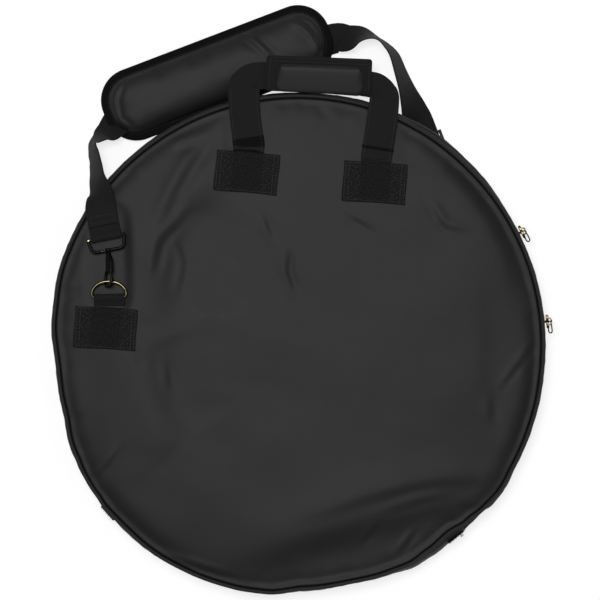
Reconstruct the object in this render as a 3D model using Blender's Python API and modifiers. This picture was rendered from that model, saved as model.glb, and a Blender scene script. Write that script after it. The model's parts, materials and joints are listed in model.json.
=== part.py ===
"""Soft round cymbal bag, lying on its back.

Metres, +Z up out of the front panel, +Y towards the handles. The origin is the centre of the back panel's flat
underside. The zip runs round the top three quarters of the rim, and the lid folds along the chord between its ends.
"""

import math

import bmesh
import bpy
from mathutils import Matrix, Vector

# Bag body
BAG_DEPTH = 0.052
RIM_RADIUS = 0.303
PIPING_RADIUS = 0.0025
PANEL_THICKNESS = 0.004
PANEL_EDGE_GAP = 0.0008
CROWN_FLAT_SHARE = 0.495
CROWN_RISE = 0.008
CROWN_POWER = 2.5
RIM_STEPS = 60
PANEL_RING_SHARES = (0.22, 0.4, 0.58, 0.72, 0.83, 0.925, 1.0)
FOLD_ANGLE = 45.0
FOLD_GAP = 0.0005
FIT_GAP = 0.0003
CUT_OVERRUN = 0.002
MERGE = 0.00001

# Gusset and zip
GUSSET_THICKNESS = 0.002
GUSSET_BULGE = 0.0037
HINGE_GUSSET_BULGE = 0.0045
ZIP_END_ANGLE = 43.0
ZIP_END_GAP_ANGLE = 0.3
TAPE_THICKNESS = 0.0008
TAPE_STAND_OUT = 0.0014
TAPE_WIDTH = 0.0074
CHAIN_RADIUS = 0.0011
CHAIN_GAP = 0.0018
TAB_LENGTH_ANGLE = 4.3
TAB_WIDTH = 0.022
TAB_THICKNESS = 0.0012
STOP_SIZE = (0.0015, 0.0045, 0.006)

# Zip sliders and their pulls
UPPER_SLIDER_ANGLE = 31.2
LOWER_SLIDER_ANGLE = 9.8
SLIDER_LENGTH = 0.017
SLIDER_HEIGHT = 0.010
SLIDER_PLATE = 0.002
SLIDER_INNER_PLATE = 0.0015
SLIDER_POST_LENGTH = 0.003
SLIDER_POST_HEIGHT = 0.0012
SLIDER_CLEARANCE = 0.0008
BRIDGE_LENGTH = 0.010
BRIDGE_HEIGHT = 0.003
BRIDGE_REACH = 0.0049
BRIDGE_HOLE_LENGTH = 0.0052
BRIDGE_BAR = 0.0015
PULL_WIRE = 0.0008
PULL_LENGTH = 0.016
PULL_WIDTH = 0.0088
PULL_LEAN_ANGLE = 12.0

# Handles
WEBBING_WIDTH = 0.038
WEBBING_THICKNESS = 0.0016
PATCH_SIZE = (0.078, 0.050)
PATCH_THICKNESS = 0.0014
PATCH_SPREAD_SHARE = 0.2594
PATCH_RIM_DISTANCE = 0.097
SEAT_GAP = 0.0004
HANDLE_HINGE_GAP = 0.0034
HANDLE_REACH = 0.1006
HANDLE_LEAN = 0.004
HANDLE_CORNER = 0.026
HANDLE_GRIP_Z = 0.04315
HANDLE_RIM_Z = 0.0478
GRIP_LENGTH = 0.130
GRIP_WIDTH = 0.046
GRIP_RIM_DISTANCE = 0.0295
GRIP_BASE_THICKNESS = 0.010
GRIP_FLAP_THICKNESS = 0.0105
GRIP_LIP_THICKNESS = 0.0025
GRIP_PANEL_SIZE = (0.108, 0.032)
GRIP_PANEL_SHIFT = 0.0015
CLOSURE_LENGTH = 0.100
CLOSURE_WIDTH = 0.0050
CLOSURE_THICKNESS = 0.0007
CLOSURE_INSET = 0.0008
BACK_HANDLE_Z = 0.0014

# Strap fixings: D-ring and bolt snap hook, measured along the strap from the ring's straight bar
FRONT_PATCH_SHARE = -0.780
FRONT_RING_SIDESTEP = 0.0018
FRONT_FIXING_ANGLE = 5.5
BACK_RING_SHARE = 0.7096
BACK_FIXING_ANGLE = 7.0
EYE_TURN_FRONT = 10.0
EYE_TURN_BACK = -11.5
RING_PATCH_SIZE = (0.077, 0.051)
RING_PATCH_Y = 0.002
RING_BAR_DISTANCE = 0.039
RING_WIRE = 0.00175
RING_HALF_WIDTH = 0.0209
RING_SIDE = 0.0040
RING_CORNER = 0.0018
RING_DEPTH = 0.01925
RING_LIFT_ANGLE = 12.9
LOOP_LENGTH = 0.011
LOOP_THICKNESS = 0.0015
LOOP_WIDTH = 0.036
LOOP_INNER_GAP = 0.00035
HOOK_RISE = 0.0058
HOOK_PITCH = 5.5
HOOK_ROLL = 55.0
CLAW_WIRE = 0.0020
CLAW_HALF_WIDTH = 0.0076
CLAW_END = 0.0134
CLAW_CORNER = 0.0036
CLAW_TIP = 0.0240
BODY_START = 0.0290
BODY_END = 0.0495
BODY_SIZE = (0.0132, 0.0072)
BODY_OFFSET = 0.0026
NECK_END = 0.0540
NECK_RADIUS = 0.0030
STUD_RADIUS = 0.0012
STUD_HEAD_RADIUS = 0.0026
STUD_HEAD_LENGTH = 0.0016
BOSS_RADIUS = 0.0042
BOSS_LENGTH = 0.0040
BOSS_CENTRE = 0.0570
BOSS_CLEARANCE = 0.0005
BOLT_RADIUS = 0.0013
BOLT_BORE_RADIUS = 0.0017
BOLT_OFFSET = 0.0068
BOLT_LENGTH = 0.0150
BOLT_TIP_GAP = 0.0004
BOLT_TRAVEL = 0.0040
KNOB_RADIUS = 0.0011
KNOB_REACH = 0.0042
KNOB_POSITION = 0.0330
SLOT_HALF_WIDTH = 0.0015
SPRING_WIRE = 0.00035
SPRING_COIL_RADIUS = 0.0010
SPRING_TURNS = 5
EYE_WIRE = 0.0020
EYE_NEAR_HALF_WIDTH = 0.0195
EYE_NEAR_CORNER = 0.0060
EYE_FAR_HALF_WIDTH = 0.0230
EYE_DEPTH = 0.0165
FOLD_LOWER_LEG = 0.027
FOLD_LIFT_ANGLE = 5.0
FOLD_UPPER_LEG = 0.014
FOLD_INNER_GAP = 0.00035

# Shoulder pad and strap
PAD_LENGTH = 0.292
PAD_WIDTH = 0.089
PAD_ANGLE = 25.4
PAD_ALONG = 0.027
PAD_RIM_GAP = 0.003
PAD_THICKNESS = 0.0215
PAD_UNDERSIDE = 0.0033
PAD_CORNER = 0.040
BINDING_WIDTH = 0.0065
BINDING_RADIUS = 0.0025
SLEEVE_WIDTH = 0.046
SLEEVE_LENGTH = 0.195
SLEEVE_THICKNESS = 0.0006
SLEEVE_FLOOR_Z = 0.0007
STRAP_PAD_Z = 0.0021
STRAP_PAD_OFFSET = -0.0105
STRAP_EDGE_CLEAR = 0.0008
ADJUSTER_LENGTH = 0.024
ADJUSTER_BAR = 0.0016
ADJUSTER_SIDE = 0.0035
ADJUSTER_GAP = 0.0004
ADJUSTER_SHARE = 0.34

# The strap's run by hand: angle round the bag, share of the rim's radius, tilt on edge, and share of the bag's depth
# where it is off the floor
STRAP_FRONT_SHARES = (
    (149.1, 0.990, 12, 0.958),
    (147.2, 1.016, 26, 0.919),
    (145.1, 1.050, 42, 0.817),
    (142.5, 1.106, 62, 0.596),
    (140.9, 1.151, 70, 0.413),
    (139.2, 1.173, 40, None),
    (137.2, 1.179, 9, None),
    (135.1, 1.180, 0, None),
)
STRAP_RIGHT_SHARES = (
    (85.8, 1.262, 5, None),
    (82.8, 1.284, 45, None),
    (79.9, 1.289, 70, None),
    (77.5, 1.266, 74, None),
    (75.9, 1.225, 66, None),
    (74.0, 1.181, 42, None),
    (72.0, 1.135, 20, None),
    (69.3, 1.088, 3, None),
)
STRAP_UNDER_SHARES = (
    (65.4, 1.027, 0, 0.058),
    (59.9, 0.954, 0, 0.058),
    (53.0, 0.888, 0, 0.058),
    (45.2, 0.838, 0, 0.100),
)

# Hollows in the back panel over what lies under it
HOLLOW_FADE = 0.026
HANDLE_HOLLOW_DEPTH = 0.0044
STRAP_HOLLOW_DEPTH = 0.0076
FIXING_HOLLOW_DEPTH = 0.0208
FIXING_HOLLOW_REACH = 0.056
FIXING_HOLLOW_START = -0.058
FIXING_HOLLOW_LENGTH = 0.104
CELL_MARGIN = 0.014

# Worked out from the sizes above
CROWN_FLAT_RADIUS = RIM_RADIUS * CROWN_FLAT_SHARE
TAPE_RADIUS = RIM_RADIUS + TAPE_STAND_OUT
PATCH_CENTRE_X = RIM_RADIUS * PATCH_SPREAD_SHARE
PATCH_CENTRE_Y = RIM_RADIUS - PATCH_RIM_DISTANCE
GRIP_CENTRE_Y = RIM_RADIUS + GRIP_RIM_DISTANCE
FRONT_PATCH_X = RIM_RADIUS * FRONT_PATCH_SHARE
FRONT_RING_X = FRONT_PATCH_X + FRONT_RING_SIDESTEP
BACK_RING_X = RIM_RADIUS * BACK_RING_SHARE
RING_BAR_Y = RING_PATCH_Y + RING_BAR_DISTANCE
PANEL_RADIUS = RIM_RADIUS - PIPING_RADIUS - PANEL_EDGE_GAP
FOLD_Y = -RIM_RADIUS * math.sin(math.radians(FOLD_ANGLE))
ZIP_Z = BAG_DEPTH / 2
PIPING_Z = CROWN_RISE + PIPING_RADIUS / 2
GUSSET_EDGE_Z = PIPING_Z + PIPING_RADIUS + GUSSET_THICKNESS / 4
CHAIN_RING = TAPE_RADIUS + TAPE_THICKNESS / 2 + FIT_GAP + CHAIN_RADIUS
CHAIN_Z = ZIP_Z - CHAIN_GAP / 2 - CHAIN_RADIUS
PATCH_TOP_Y = PATCH_CENTRE_Y + PATCH_SIZE[1] / 2
HANDLE_HINGE_Y = PATCH_TOP_Y + HANDLE_HINGE_GAP
RING_BAR_HEIGHT = SEAT_GAP + LOOP_THICKNESS + LOOP_INNER_GAP + RING_WIRE
PAD_ACROSS = RIM_RADIUS + PAD_RIM_GAP + PAD_WIDTH / 2

FABRIC = ((0.035, 0.035, 0.038), 0.75, 0.0)
WEBBING = ((0.014, 0.014, 0.014), 0.65, 0.0)
PATCH = ((0.012, 0.012, 0.013), 0.85, 0.0)
CORD = ((0.016, 0.016, 0.017), 0.6, 0.0)
METAL = ((0.04, 0.036, 0.03), 0.28, 1.0)
BRASS = ((0.72, 0.55, 0.25), 0.3, 1.0)
STEEL = ((0.45, 0.45, 0.47), 0.35, 1.0)


def smooth_step(t):
    """0 below 0, 1 above 1, with no corner between."""
    t = min(max(t, 0.0), 1.0)
    return t * t * (3 - 2 * t)


def crown(radius):
    """How far a panel's face has turned in towards the middle of the bag at this radius."""
    t = max(radius - CROWN_FLAT_RADIUS, 0.0) / (PANEL_RADIUS - CROWN_FLAT_RADIUS)
    return CROWN_RISE * t**CROWN_POWER


def crown_slope(radius):
    """How steeply the crowned face falls away at this radius."""
    return (crown(radius + FIT_GAP) - crown(radius - FIT_GAP)) / (2 * FIT_GAP)


def front_height(x, y):
    """Height of the front panel's outer face."""
    return BAG_DEPTH - crown(math.hypot(x, y))


def distance_to_run(x, y, start, end):
    """Distance in plan from a point to a straight run."""
    p, a, b = Vector((x, y)), Vector(start[:2]), Vector(end[:2])
    share = max(0.0, min(1.0, (p - a).dot(b - a) / (b - a).length_squared))
    return (p - a - (b - a) * share).length


def route_station(angle, radius_share, tilt, height_share):
    """A station of the strap, resting its lower edge on the floor where no height is given."""
    turn = math.radians(angle)
    radius = RIM_RADIUS * radius_share
    if height_share is None:
        height = WEBBING_WIDTH / 2 * math.sin(math.radians(tilt)) + WEBBING_THICKNESS / 2 + STRAP_EDGE_CLEAR
    else:
        height = BAG_DEPTH * height_share
    return (radius * math.cos(turn), radius * math.sin(turn), height, tilt)


def fixing_place(bar_x, bar_y, angle, out):
    """Frame of a strap fixing: X along the strap from the ring's bar, Y across it, Z away from the panel."""
    if out > 0:
        bar_z = front_height(bar_x, bar_y) + RING_BAR_HEIGHT
    else:
        bar_z = FIXING_HOLLOW_DEPTH - RING_BAR_HEIGHT
    along = math.radians(90 + angle)
    x_axis = Vector((math.cos(along), math.sin(along), 0))
    z_axis = Vector((0, 0, out))
    if out > 0:
        outward = Vector((bar_x, bar_y, 0)).normalized()
        z_axis = (z_axis + outward * crown_slope(math.hypot(bar_x, bar_y))).normalized()
        x_axis = (x_axis - z_axis * x_axis.dot(z_axis)).normalized()
    y_axis = z_axis.cross(x_axis)
    place = Matrix.Identity(4)
    for column, axis in enumerate((x_axis, y_axis, z_axis)):
        for row in range(3):
            place[row][column] = axis[row]
    place.translation = Vector((bar_x, bar_y, bar_z))
    return place


FRONT_PLACE = fixing_place(FRONT_RING_X, RING_BAR_Y, FRONT_FIXING_ANGLE, 1)
BACK_PLACE = fixing_place(BACK_RING_X, RING_BAR_Y, BACK_FIXING_ANGLE, -1)
STRAP_UNDER = [route_station(*station) for station in STRAP_UNDER_SHARES]


def hook_line(place):
    """The hook's own frame: X along its swivel axis, Y across, with the snap's rise and pitch off the panel."""
    reach = RING_DEPTH
    return (
        place
        @ Matrix.Translation((reach, 0, HOOK_RISE))
        @ Matrix.Rotation(math.radians(HOOK_PITCH), 4, "Y")
        @ Matrix.Translation((-reach, 0, 0))
    )


def eye_line(place, turn):
    """The swivel eye's frame, turned about the middle of its boss."""
    return hook_line(place) @ Matrix.Translation((BOSS_CENTRE, 0, 0)) @ Matrix.Rotation(math.radians(turn), 4, "Z")


def back_height(x, y):
    """Height of the back panel's underside: flat, crowned to the rim, and hollowed over what lies under it."""
    radius = math.hypot(x, y)
    height = crown(radius)
    to_rim = 1 - smooth_step((radius - PANEL_RADIUS + HOLLOW_FADE) / HOLLOW_FADE)
    start = BACK_PLACE @ Vector((FIXING_HOLLOW_START, 0, 0))
    end = BACK_PLACE @ Vector((FIXING_HOLLOW_START + FIXING_HOLLOW_LENGTH + BOSS_CENTRE, 0, 0))
    away = distance_to_run(x, y, start, end)
    fixing = 1 - smooth_step((away - FIXING_HOLLOW_REACH) / HOLLOW_FADE)
    height = max(height, height + (FIXING_HOLLOW_DEPTH - height) * fixing * to_rim)
    for first, last in zip(STRAP_UNDER, STRAP_UNDER[1:]):
        away = distance_to_run(x, y, first, last)
        strap = 1 - smooth_step((away - WEBBING_WIDTH / 2 - CELL_MARGIN) / HOLLOW_FADE)
        height = max(height, STRAP_HOLLOW_DEPTH * strap * to_rim)
    half_x = PATCH_CENTRE_X + PATCH_SIZE[0] / 2
    away_x = max(abs(x) - half_x, 0.0)
    low_y = HANDLE_HINGE_Y - HANDLE_REACH - WEBBING_WIDTH / 2
    away_y = max(low_y - y, y - HANDLE_HINGE_Y, 0.0)
    handle = 1 - smooth_step((math.hypot(away_x, away_y) - CELL_MARGIN) / HOLLOW_FADE)
    return max(height, HANDLE_HOLLOW_DEPTH * handle * to_rim)


def finish(obj, look, parent=None):
    """Give an object its material and put it in the bag's collection."""
    colour, roughness, metallic = look
    material = bpy.data.materials.new(obj.name)
    material.use_nodes = True
    shader = material.node_tree.nodes["Principled BSDF"]
    shader.inputs["Base Color"].default_value = (*colour, 1)
    shader.inputs["Roughness"].default_value = roughness
    shader.inputs["Metallic"].default_value = metallic
    obj.data.materials.clear()
    obj.data.materials.append(material)
    for collection in list(obj.users_collection):
        collection.objects.unlink(obj)
    PARTS.objects.link(obj)
    if parent is not None:
        set_parent(obj, parent)
    return obj


def set_parent(obj, parent):
    """Parent without moving the object."""
    bpy.context.view_layer.update()
    world = obj.matrix_world.copy()
    obj.parent = parent
    obj.matrix_parent_inverse = parent.matrix_world.inverted()
    obj.matrix_world = world


def pivot(name, position, parent=None):
    """An empty on a joint's axis."""
    empty = bpy.data.objects.new(name, None)
    PARTS.objects.link(empty)
    empty.location = position
    bpy.context.view_layer.update()
    if parent is not None:
        set_parent(empty, parent)
    return empty


def add_mesh(name, bm, look, parent=None):
    """Turn a bmesh into a finished object."""
    mesh = bpy.data.meshes.new(name)
    bm.to_mesh(mesh)
    bm.free()
    obj = bpy.data.objects.new(name, mesh)
    bpy.context.scene.collection.objects.link(obj)
    return finish(obj, look, parent)


def thicken(obj, thickness, offset):
    """A wall on an open surface: offset 1 grows along the normals, -1 against them, 0 both ways."""
    wall = obj.modifiers.new("wall", "SOLIDIFY")
    wall.thickness = thickness
    wall.offset = offset
    wall.use_even_offset = True
    return obj


def apply_modifiers(obj):
    """Replace an object's mesh by its evaluated one."""
    bpy.context.view_layer.update()
    evaluated = obj.evaluated_get(bpy.context.evaluated_depsgraph_get())
    mesh = bpy.data.meshes.new_from_object(evaluated)
    if obj.type == "MESH":
        obj.modifiers.clear()
        obj.data = mesh
        return obj
    name, place = obj.name, obj.matrix_world.copy()
    bpy.data.objects.remove(obj)
    solid = bpy.data.objects.new(name, mesh)
    bpy.context.scene.collection.objects.link(solid)
    solid.matrix_world = place
    weld(solid.data)
    return solid


def weld(mesh):
    """Join points that lie on each other."""
    bm = bmesh.new()
    bm.from_mesh(mesh)
    bmesh.ops.remove_doubles(bm, verts=bm.verts, dist=MERGE)
    bm.to_mesh(mesh)
    bm.free()


def boolean(obj, other, operation):
    """Join or cut with another closed object, kept as a wire guide."""
    for collection in list(other.users_collection):
        collection.objects.unlink(other)
    CUTTERS.objects.link(other)
    other.hide_render = True
    other.display_type = "WIRE"
    modifier = obj.modifiers.new(operation.lower(), "BOOLEAN")
    modifier.operation = operation
    modifier.object = other
    return obj


def wire(name, points, radius, cyclic=False, sides=2):
    """A round wire through points, as a curve with a bevel."""
    data = bpy.data.curves.new(name, "CURVE")
    data.dimensions = "3D"
    data.bevel_depth = radius
    data.bevel_resolution = sides
    data.use_fill_caps = True
    spline = data.splines.new("POLY")
    spline.points.add(len(points) - 1)
    for point, place in zip(spline.points, points):
        point.co = (*place, 1)
    spline.use_cyclic_u = cyclic
    obj = bpy.data.objects.new(name, data)
    bpy.context.scene.collection.objects.link(obj)
    return obj


def rim_arc(radius, height, start, end):
    """Points on a circle about the bag's axis, one for each rim step or part of one."""
    steps = max(2, math.ceil((end - start) / (360 / RIM_STEPS)))
    angles = [math.radians(start + (end - start) * n / steps) for n in range(steps + 1)]
    return [(radius * math.cos(a), radius * math.sin(a), height) for a in angles]


def rim_band(name, profile, start, end, thickness, look, parent=None):
    """A strip of cloth round the rim: an open profile of radius and height, turned and given a wall."""
    mesh = bpy.data.meshes.new(name)
    mesh.from_pydata([(r, 0, z) for r, z in profile], [(n, n + 1) for n in range(len(profile) - 1)], [])
    obj = bpy.data.objects.new(name, mesh)
    bpy.context.scene.collection.objects.link(obj)
    obj.rotation_euler.z = math.radians(start)
    turn = obj.modifiers.new("turn", "SCREW")
    turn.angle = math.radians(end - start)
    turn.steps = max(2, math.ceil((end - start) / (360 / RIM_STEPS)))
    turn.render_steps = turn.steps
    turn.use_merge_vertices = False
    thicken(obj, thickness, 0)
    return finish(obj, look, parent)


def panel_disc():
    """A flat disc in rings, with its edge on the rim's facets."""
    bm = bmesh.new()
    centre = bm.verts.new((0, 0, 0))
    chain = [centre] + [bm.verts.new((share * PANEL_RADIUS, 0, 0)) for share in PANEL_RING_SHARES]
    edges = [bm.edges.new(pair) for pair in zip(chain, chain[1:])]
    bmesh.ops.spin(
        bm, geom=chain + edges, cent=(0, 0, 0), axis=(0, 0, 1), angle=math.tau, steps=RIM_STEPS, use_merge=True
    )
    bmesh.ops.remove_doubles(bm, verts=bm.verts, dist=MERGE)
    bmesh.ops.recalc_face_normals(bm, faces=bm.faces)
    if bm.faces[0].normal.z < 0:
        bmesh.ops.reverse_faces(bm, faces=bm.faces)
    return bm


def front_piece(name, keep_above, parent):
    """The front panel on one side of the fold line."""
    bm = panel_disc()
    side = 1 if keep_above else -1
    cut = (0, FOLD_Y + side * FOLD_GAP / 2, 0)
    everything = list(bm.verts) + list(bm.edges) + list(bm.faces)
    bmesh.ops.bisect_plane(
        bm, geom=everything, plane_co=cut, plane_no=(0, side, 0), clear_inner=True, dist=MERGE
    )
    for vert in bm.verts:
        vert.co.z = front_height(vert.co.x, vert.co.y)
    obj = add_mesh(name, bm, FABRIC, parent)
    return thicken(obj, PANEL_THICKNESS, -1)


def back_piece():
    """The back panel, with finer cells where it is hollowed."""
    bm = panel_disc()
    start = BACK_PLACE @ Vector((FIXING_HOLLOW_START, 0, 0))
    end = BACK_PLACE @ Vector((FIXING_HOLLOW_START + FIXING_HOLLOW_LENGTH + BOSS_CENTRE, 0, 0))
    reach = FIXING_HOLLOW_REACH + HOLLOW_FADE
    near = set()
    for face in bm.faces:
        middle = face.calc_center_median()
        if distance_to_run(middle.x, middle.y, start, end) < reach and middle.length > CROWN_FLAT_RADIUS:
            near.update(face.edges)
    bmesh.ops.subdivide_edges(bm, edges=list(near), cuts=1, use_grid_fill=True)
    for vert in bm.verts:
        vert.co.z = back_height(vert.co.x, vert.co.y)
    bmesh.ops.triangulate(bm, faces=[face for face in bm.faces if len(face.verts) > 3])
    obj = add_mesh("back_panel", bm, FABRIC)
    return thicken(obj, PANEL_THICKNESS, 1)


def draped_patch(name, centre, size, height, out, look, parent=None):
    """A flat patch sewn on a panel, following the panel's height."""
    bm = bmesh.new()
    bmesh.ops.create_grid(bm, x_segments=4, y_segments=3, size=0.5)
    for vert in bm.verts:
        x = centre[0] + vert.co.x * size[0]
        y = centre[1] + vert.co.y * size[1]
        vert.co = (x, y, height(x, y) + out * SEAT_GAP)
    if out < 0:
        bmesh.ops.reverse_faces(bm, faces=bm.faces)
    return thicken(add_mesh(name, bm, look, parent), PATCH_THICKNESS, 1)


def smooth_route(stations, between):
    """Points of a Catmull-Rom curve through stations of any number of values."""
    out = []
    count = len(stations)
    for n in range(count - 1):
        p = [stations[min(max(n + k, 0), count - 1)] for k in (-1, 0, 1, 2)]
        for step in range(between):
            t = step / between
            out.append(
                [
                    ((2 * b) + (c - a) * t + (2 * a - 5 * b + 4 * c - d) * t * t + (3 * b - a - 3 * c + d) * t**3) / 2
                    for a, b, c, d in zip(*p)
                ]
            )
    out.append(list(stations[-1]))
    return out


def webbing(name, stations, between, look, parent=None, width=WEBBING_WIDTH, thickness=WEBBING_THICKNESS):
    """Flat webbing lofted along stations of x, y, z and a tilt in degrees about its own run."""
    route = smooth_route(stations, between)
    centres = [Vector(station[:3]) for station in route]
    bm = bmesh.new()
    sections = []
    for n, centre in enumerate(centres):
        ahead = centres[min(n + 1, len(centres) - 1)]
        behind = centres[max(n - 1, 0)]
        run = (ahead - behind).normalized()
        across = run.cross(Vector((0, 0, 1))).normalized()
        across = Matrix.Rotation(math.radians(-route[n][3]), 3, run) @ across
        up = across.cross(run).normalized()
        corners = [(-1, -1), (1, -1), (1, 1), (-1, 1)]
        sections.append(
            [bm.verts.new(centre + across * a * width / 2 + up * b * thickness / 2) for a, b in corners]
        )
    for one, two in zip(sections, sections[1:]):
        for k in range(4):
            bm.faces.new((one[k], one[(k + 1) % 4], two[(k + 1) % 4], two[k]))
    bm.faces.new(sections[0][::-1])
    bm.faces.new(sections[-1])
    bmesh.ops.recalc_face_normals(bm, faces=bm.faces)
    return add_mesh(name, bm, look, parent)


def rounded_outline(half_x, half_y, corner, steps):
    """Corner points of a rounded rectangle, anticlockwise, with the corner kept inside its half sizes."""
    corner = min(corner, half_x, half_y)
    points = []
    for turn, (sx, sy) in enumerate(((1, 1), (-1, 1), (-1, -1), (1, -1))):
        for n in range(steps + 1):
            angle = math.radians(90 * turn + 90 * n / steps)
            points.append(
                (sx * (half_x - corner) + corner * math.cos(angle), sy * (half_y - corner) + corner * math.sin(angle))
            )
    return points


def layered(name, layers, place, look, parent=None, corner_steps=5):
    """A soft or moulded form as layers of rounded rectangles: half x, half y, corner radius, height, shift x, shift y."""
    bm = bmesh.new()
    rings = []
    for half_x, half_y, corner, height, shift_x, shift_y in layers:
        outline = rounded_outline(half_x, half_y, corner, corner_steps)
        rings.append([bm.verts.new(place @ Vector((x + shift_x, y + shift_y, height))) for x, y in outline])
    count = len(rings[0])
    for one, two in zip(rings, rings[1:]):
        for k in range(count):
            bm.faces.new((one[k], one[(k + 1) % count], two[(k + 1) % count], two[k]))
    bm.faces.new(rings[0][::-1])
    bm.faces.new(rings[-1])
    bmesh.ops.recalc_face_normals(bm, faces=bm.faces)
    return add_mesh(name, bm, look, parent)


def block(name, size, place):
    """A plain box of this size at this place, for joins and cuts."""
    bpy.ops.mesh.primitive_cube_add(size=1)
    obj = bpy.context.object
    obj.name = name
    obj.data.transform(place @ Matrix.Diagonal((*size, 1)))
    return obj


def rod(name, radius, start, end, place, sides=16):
    """A round rod along X in this place."""
    bpy.ops.mesh.primitive_cylinder_add(vertices=sides, radius=radius, depth=end - start)
    obj = bpy.context.object
    obj.name = name
    lay = Matrix.Translation(((start + end) / 2, 0, 0)) @ Matrix.Rotation(math.radians(90), 4, "Y")
    obj.data.transform(place @ lay)
    return obj


def build_shell():
    """Panels, piping and gussets."""
    back_piece()
    front_piece("front_panel", True, LID)
    front_piece("front_panel_foot", False, None)
    ring = rim_arc(RIM_RADIUS, PIPING_Z, 0, 360)[:-1]
    finish(wire("back_piping", ring, PIPING_RADIUS, cyclic=True, sides=1), CORD)
    end = FOLD_ANGLE - ZIP_END_GAP_ANGLE
    front_z = BAG_DEPTH - PIPING_Z
    lid_arc = rim_arc(RIM_RADIUS, front_z, -end, 180 + end)
    finish(wire("front_piping", lid_arc, PIPING_RADIUS, sides=1), CORD, LID)
    end = FOLD_ANGLE + ZIP_END_GAP_ANGLE
    foot_arc = rim_arc(RIM_RADIUS, front_z, 180 + end, 360 - end)
    finish(wire("front_piping_foot", foot_arc, PIPING_RADIUS, sides=1), CORD)

    edge = RIM_RADIUS + GUSSET_THICKNESS * 0.65
    swell = RIM_RADIUS + GUSSET_BULGE
    tape_edge = ZIP_Z - CHAIN_GAP / 2 - 2 * CHAIN_RADIUS - GUSSET_THICKNESS
    back_profile = ((edge, GUSSET_EDGE_Z), (swell, GUSSET_EDGE_Z + GUSSET_THICKNESS * 2), (swell, tape_edge))
    front_profile = tuple((r, BAG_DEPTH - z) for r, z in back_profile)
    zip_end = ZIP_END_ANGLE
    rim_band("back_gusset", back_profile, -zip_end, 180 + zip_end, GUSSET_THICKNESS, FABRIC)
    rim_band("front_gusset", front_profile, -zip_end, 180 + zip_end, GUSSET_THICKNESS, FABRIC, LID)
    hinge_swell = RIM_RADIUS + HINGE_GUSSET_BULGE
    hinge_profile = back_profile[:2] + ((hinge_swell, ZIP_Z),) + front_profile[:2][::-1]
    start = 180 + zip_end + ZIP_END_GAP_ANGLE
    rim_band("hinge_gusset", hinge_profile, start, 540 - start, GUSSET_THICKNESS, FABRIC)


def build_zip():
    """Tapes, chains, end tabs and stops."""
    zip_end = ZIP_END_ANGLE
    low = CHAIN_Z + CHAIN_RADIUS - TAPE_WIDTH
    for side, parent, mirror in (("back", None, False), ("front", LID, True)):
        heights = (low, CHAIN_Z + CHAIN_RADIUS)
        chain_z = CHAIN_Z
        if mirror:
            heights = tuple(BAG_DEPTH - z for z in heights)
            chain_z = BAG_DEPTH - CHAIN_Z
        tape = tuple((TAPE_RADIUS, z) for z in heights)
        rim_band("zip_tape_" + side, tape, -zip_end, 180 + zip_end, TAPE_THICKNESS, CORD, parent)
        arc = rim_arc(CHAIN_RING, chain_z, -zip_end, 180 + zip_end)
        finish(wire("zip_chain_" + side, arc, CHAIN_RADIUS, sides=0), CORD, parent)
    tab_radius = RIM_RADIUS + HINGE_GUSSET_BULGE + GUSSET_THICKNESS / 2 + SEAT_GAP + TAB_THICKNESS / 2
    tab = ((tab_radius, ZIP_Z - TAB_WIDTH / 2), (tab_radius, ZIP_Z), (tab_radius, ZIP_Z + TAB_WIDTH / 2))
    near = zip_end + ZIP_END_GAP_ANGLE * 3
    far = near + TAB_LENGTH_ANGLE
    rim_band("zip_end_tab_right", tab, -far, -near, TAB_THICKNESS, FABRIC)
    rim_band("zip_end_tab_left", tab, 180 + near, 180 + far, TAB_THICKNESS, FABRIC)
    stop_radius = tab_radius + TAB_THICKNESS / 2 + FIT_GAP + STOP_SIZE[0] / 2
    stop_angle = near + math.degrees(STOP_SIZE[1] / RIM_RADIUS)
    for side, angle in (("right", -stop_angle), ("left", 180 + stop_angle)):
        turn = Matrix.Rotation(math.radians(angle), 4, "Z")
        stop = block("zip_end_stop_" + side, STOP_SIZE, turn @ Matrix.Translation((stop_radius, 0, ZIP_Z)))
        edge = stop.modifiers.new("edge", "BEVEL")
        edge.width = STOP_SIZE[0] / 4
        finish(stop, BRASS)


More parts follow.
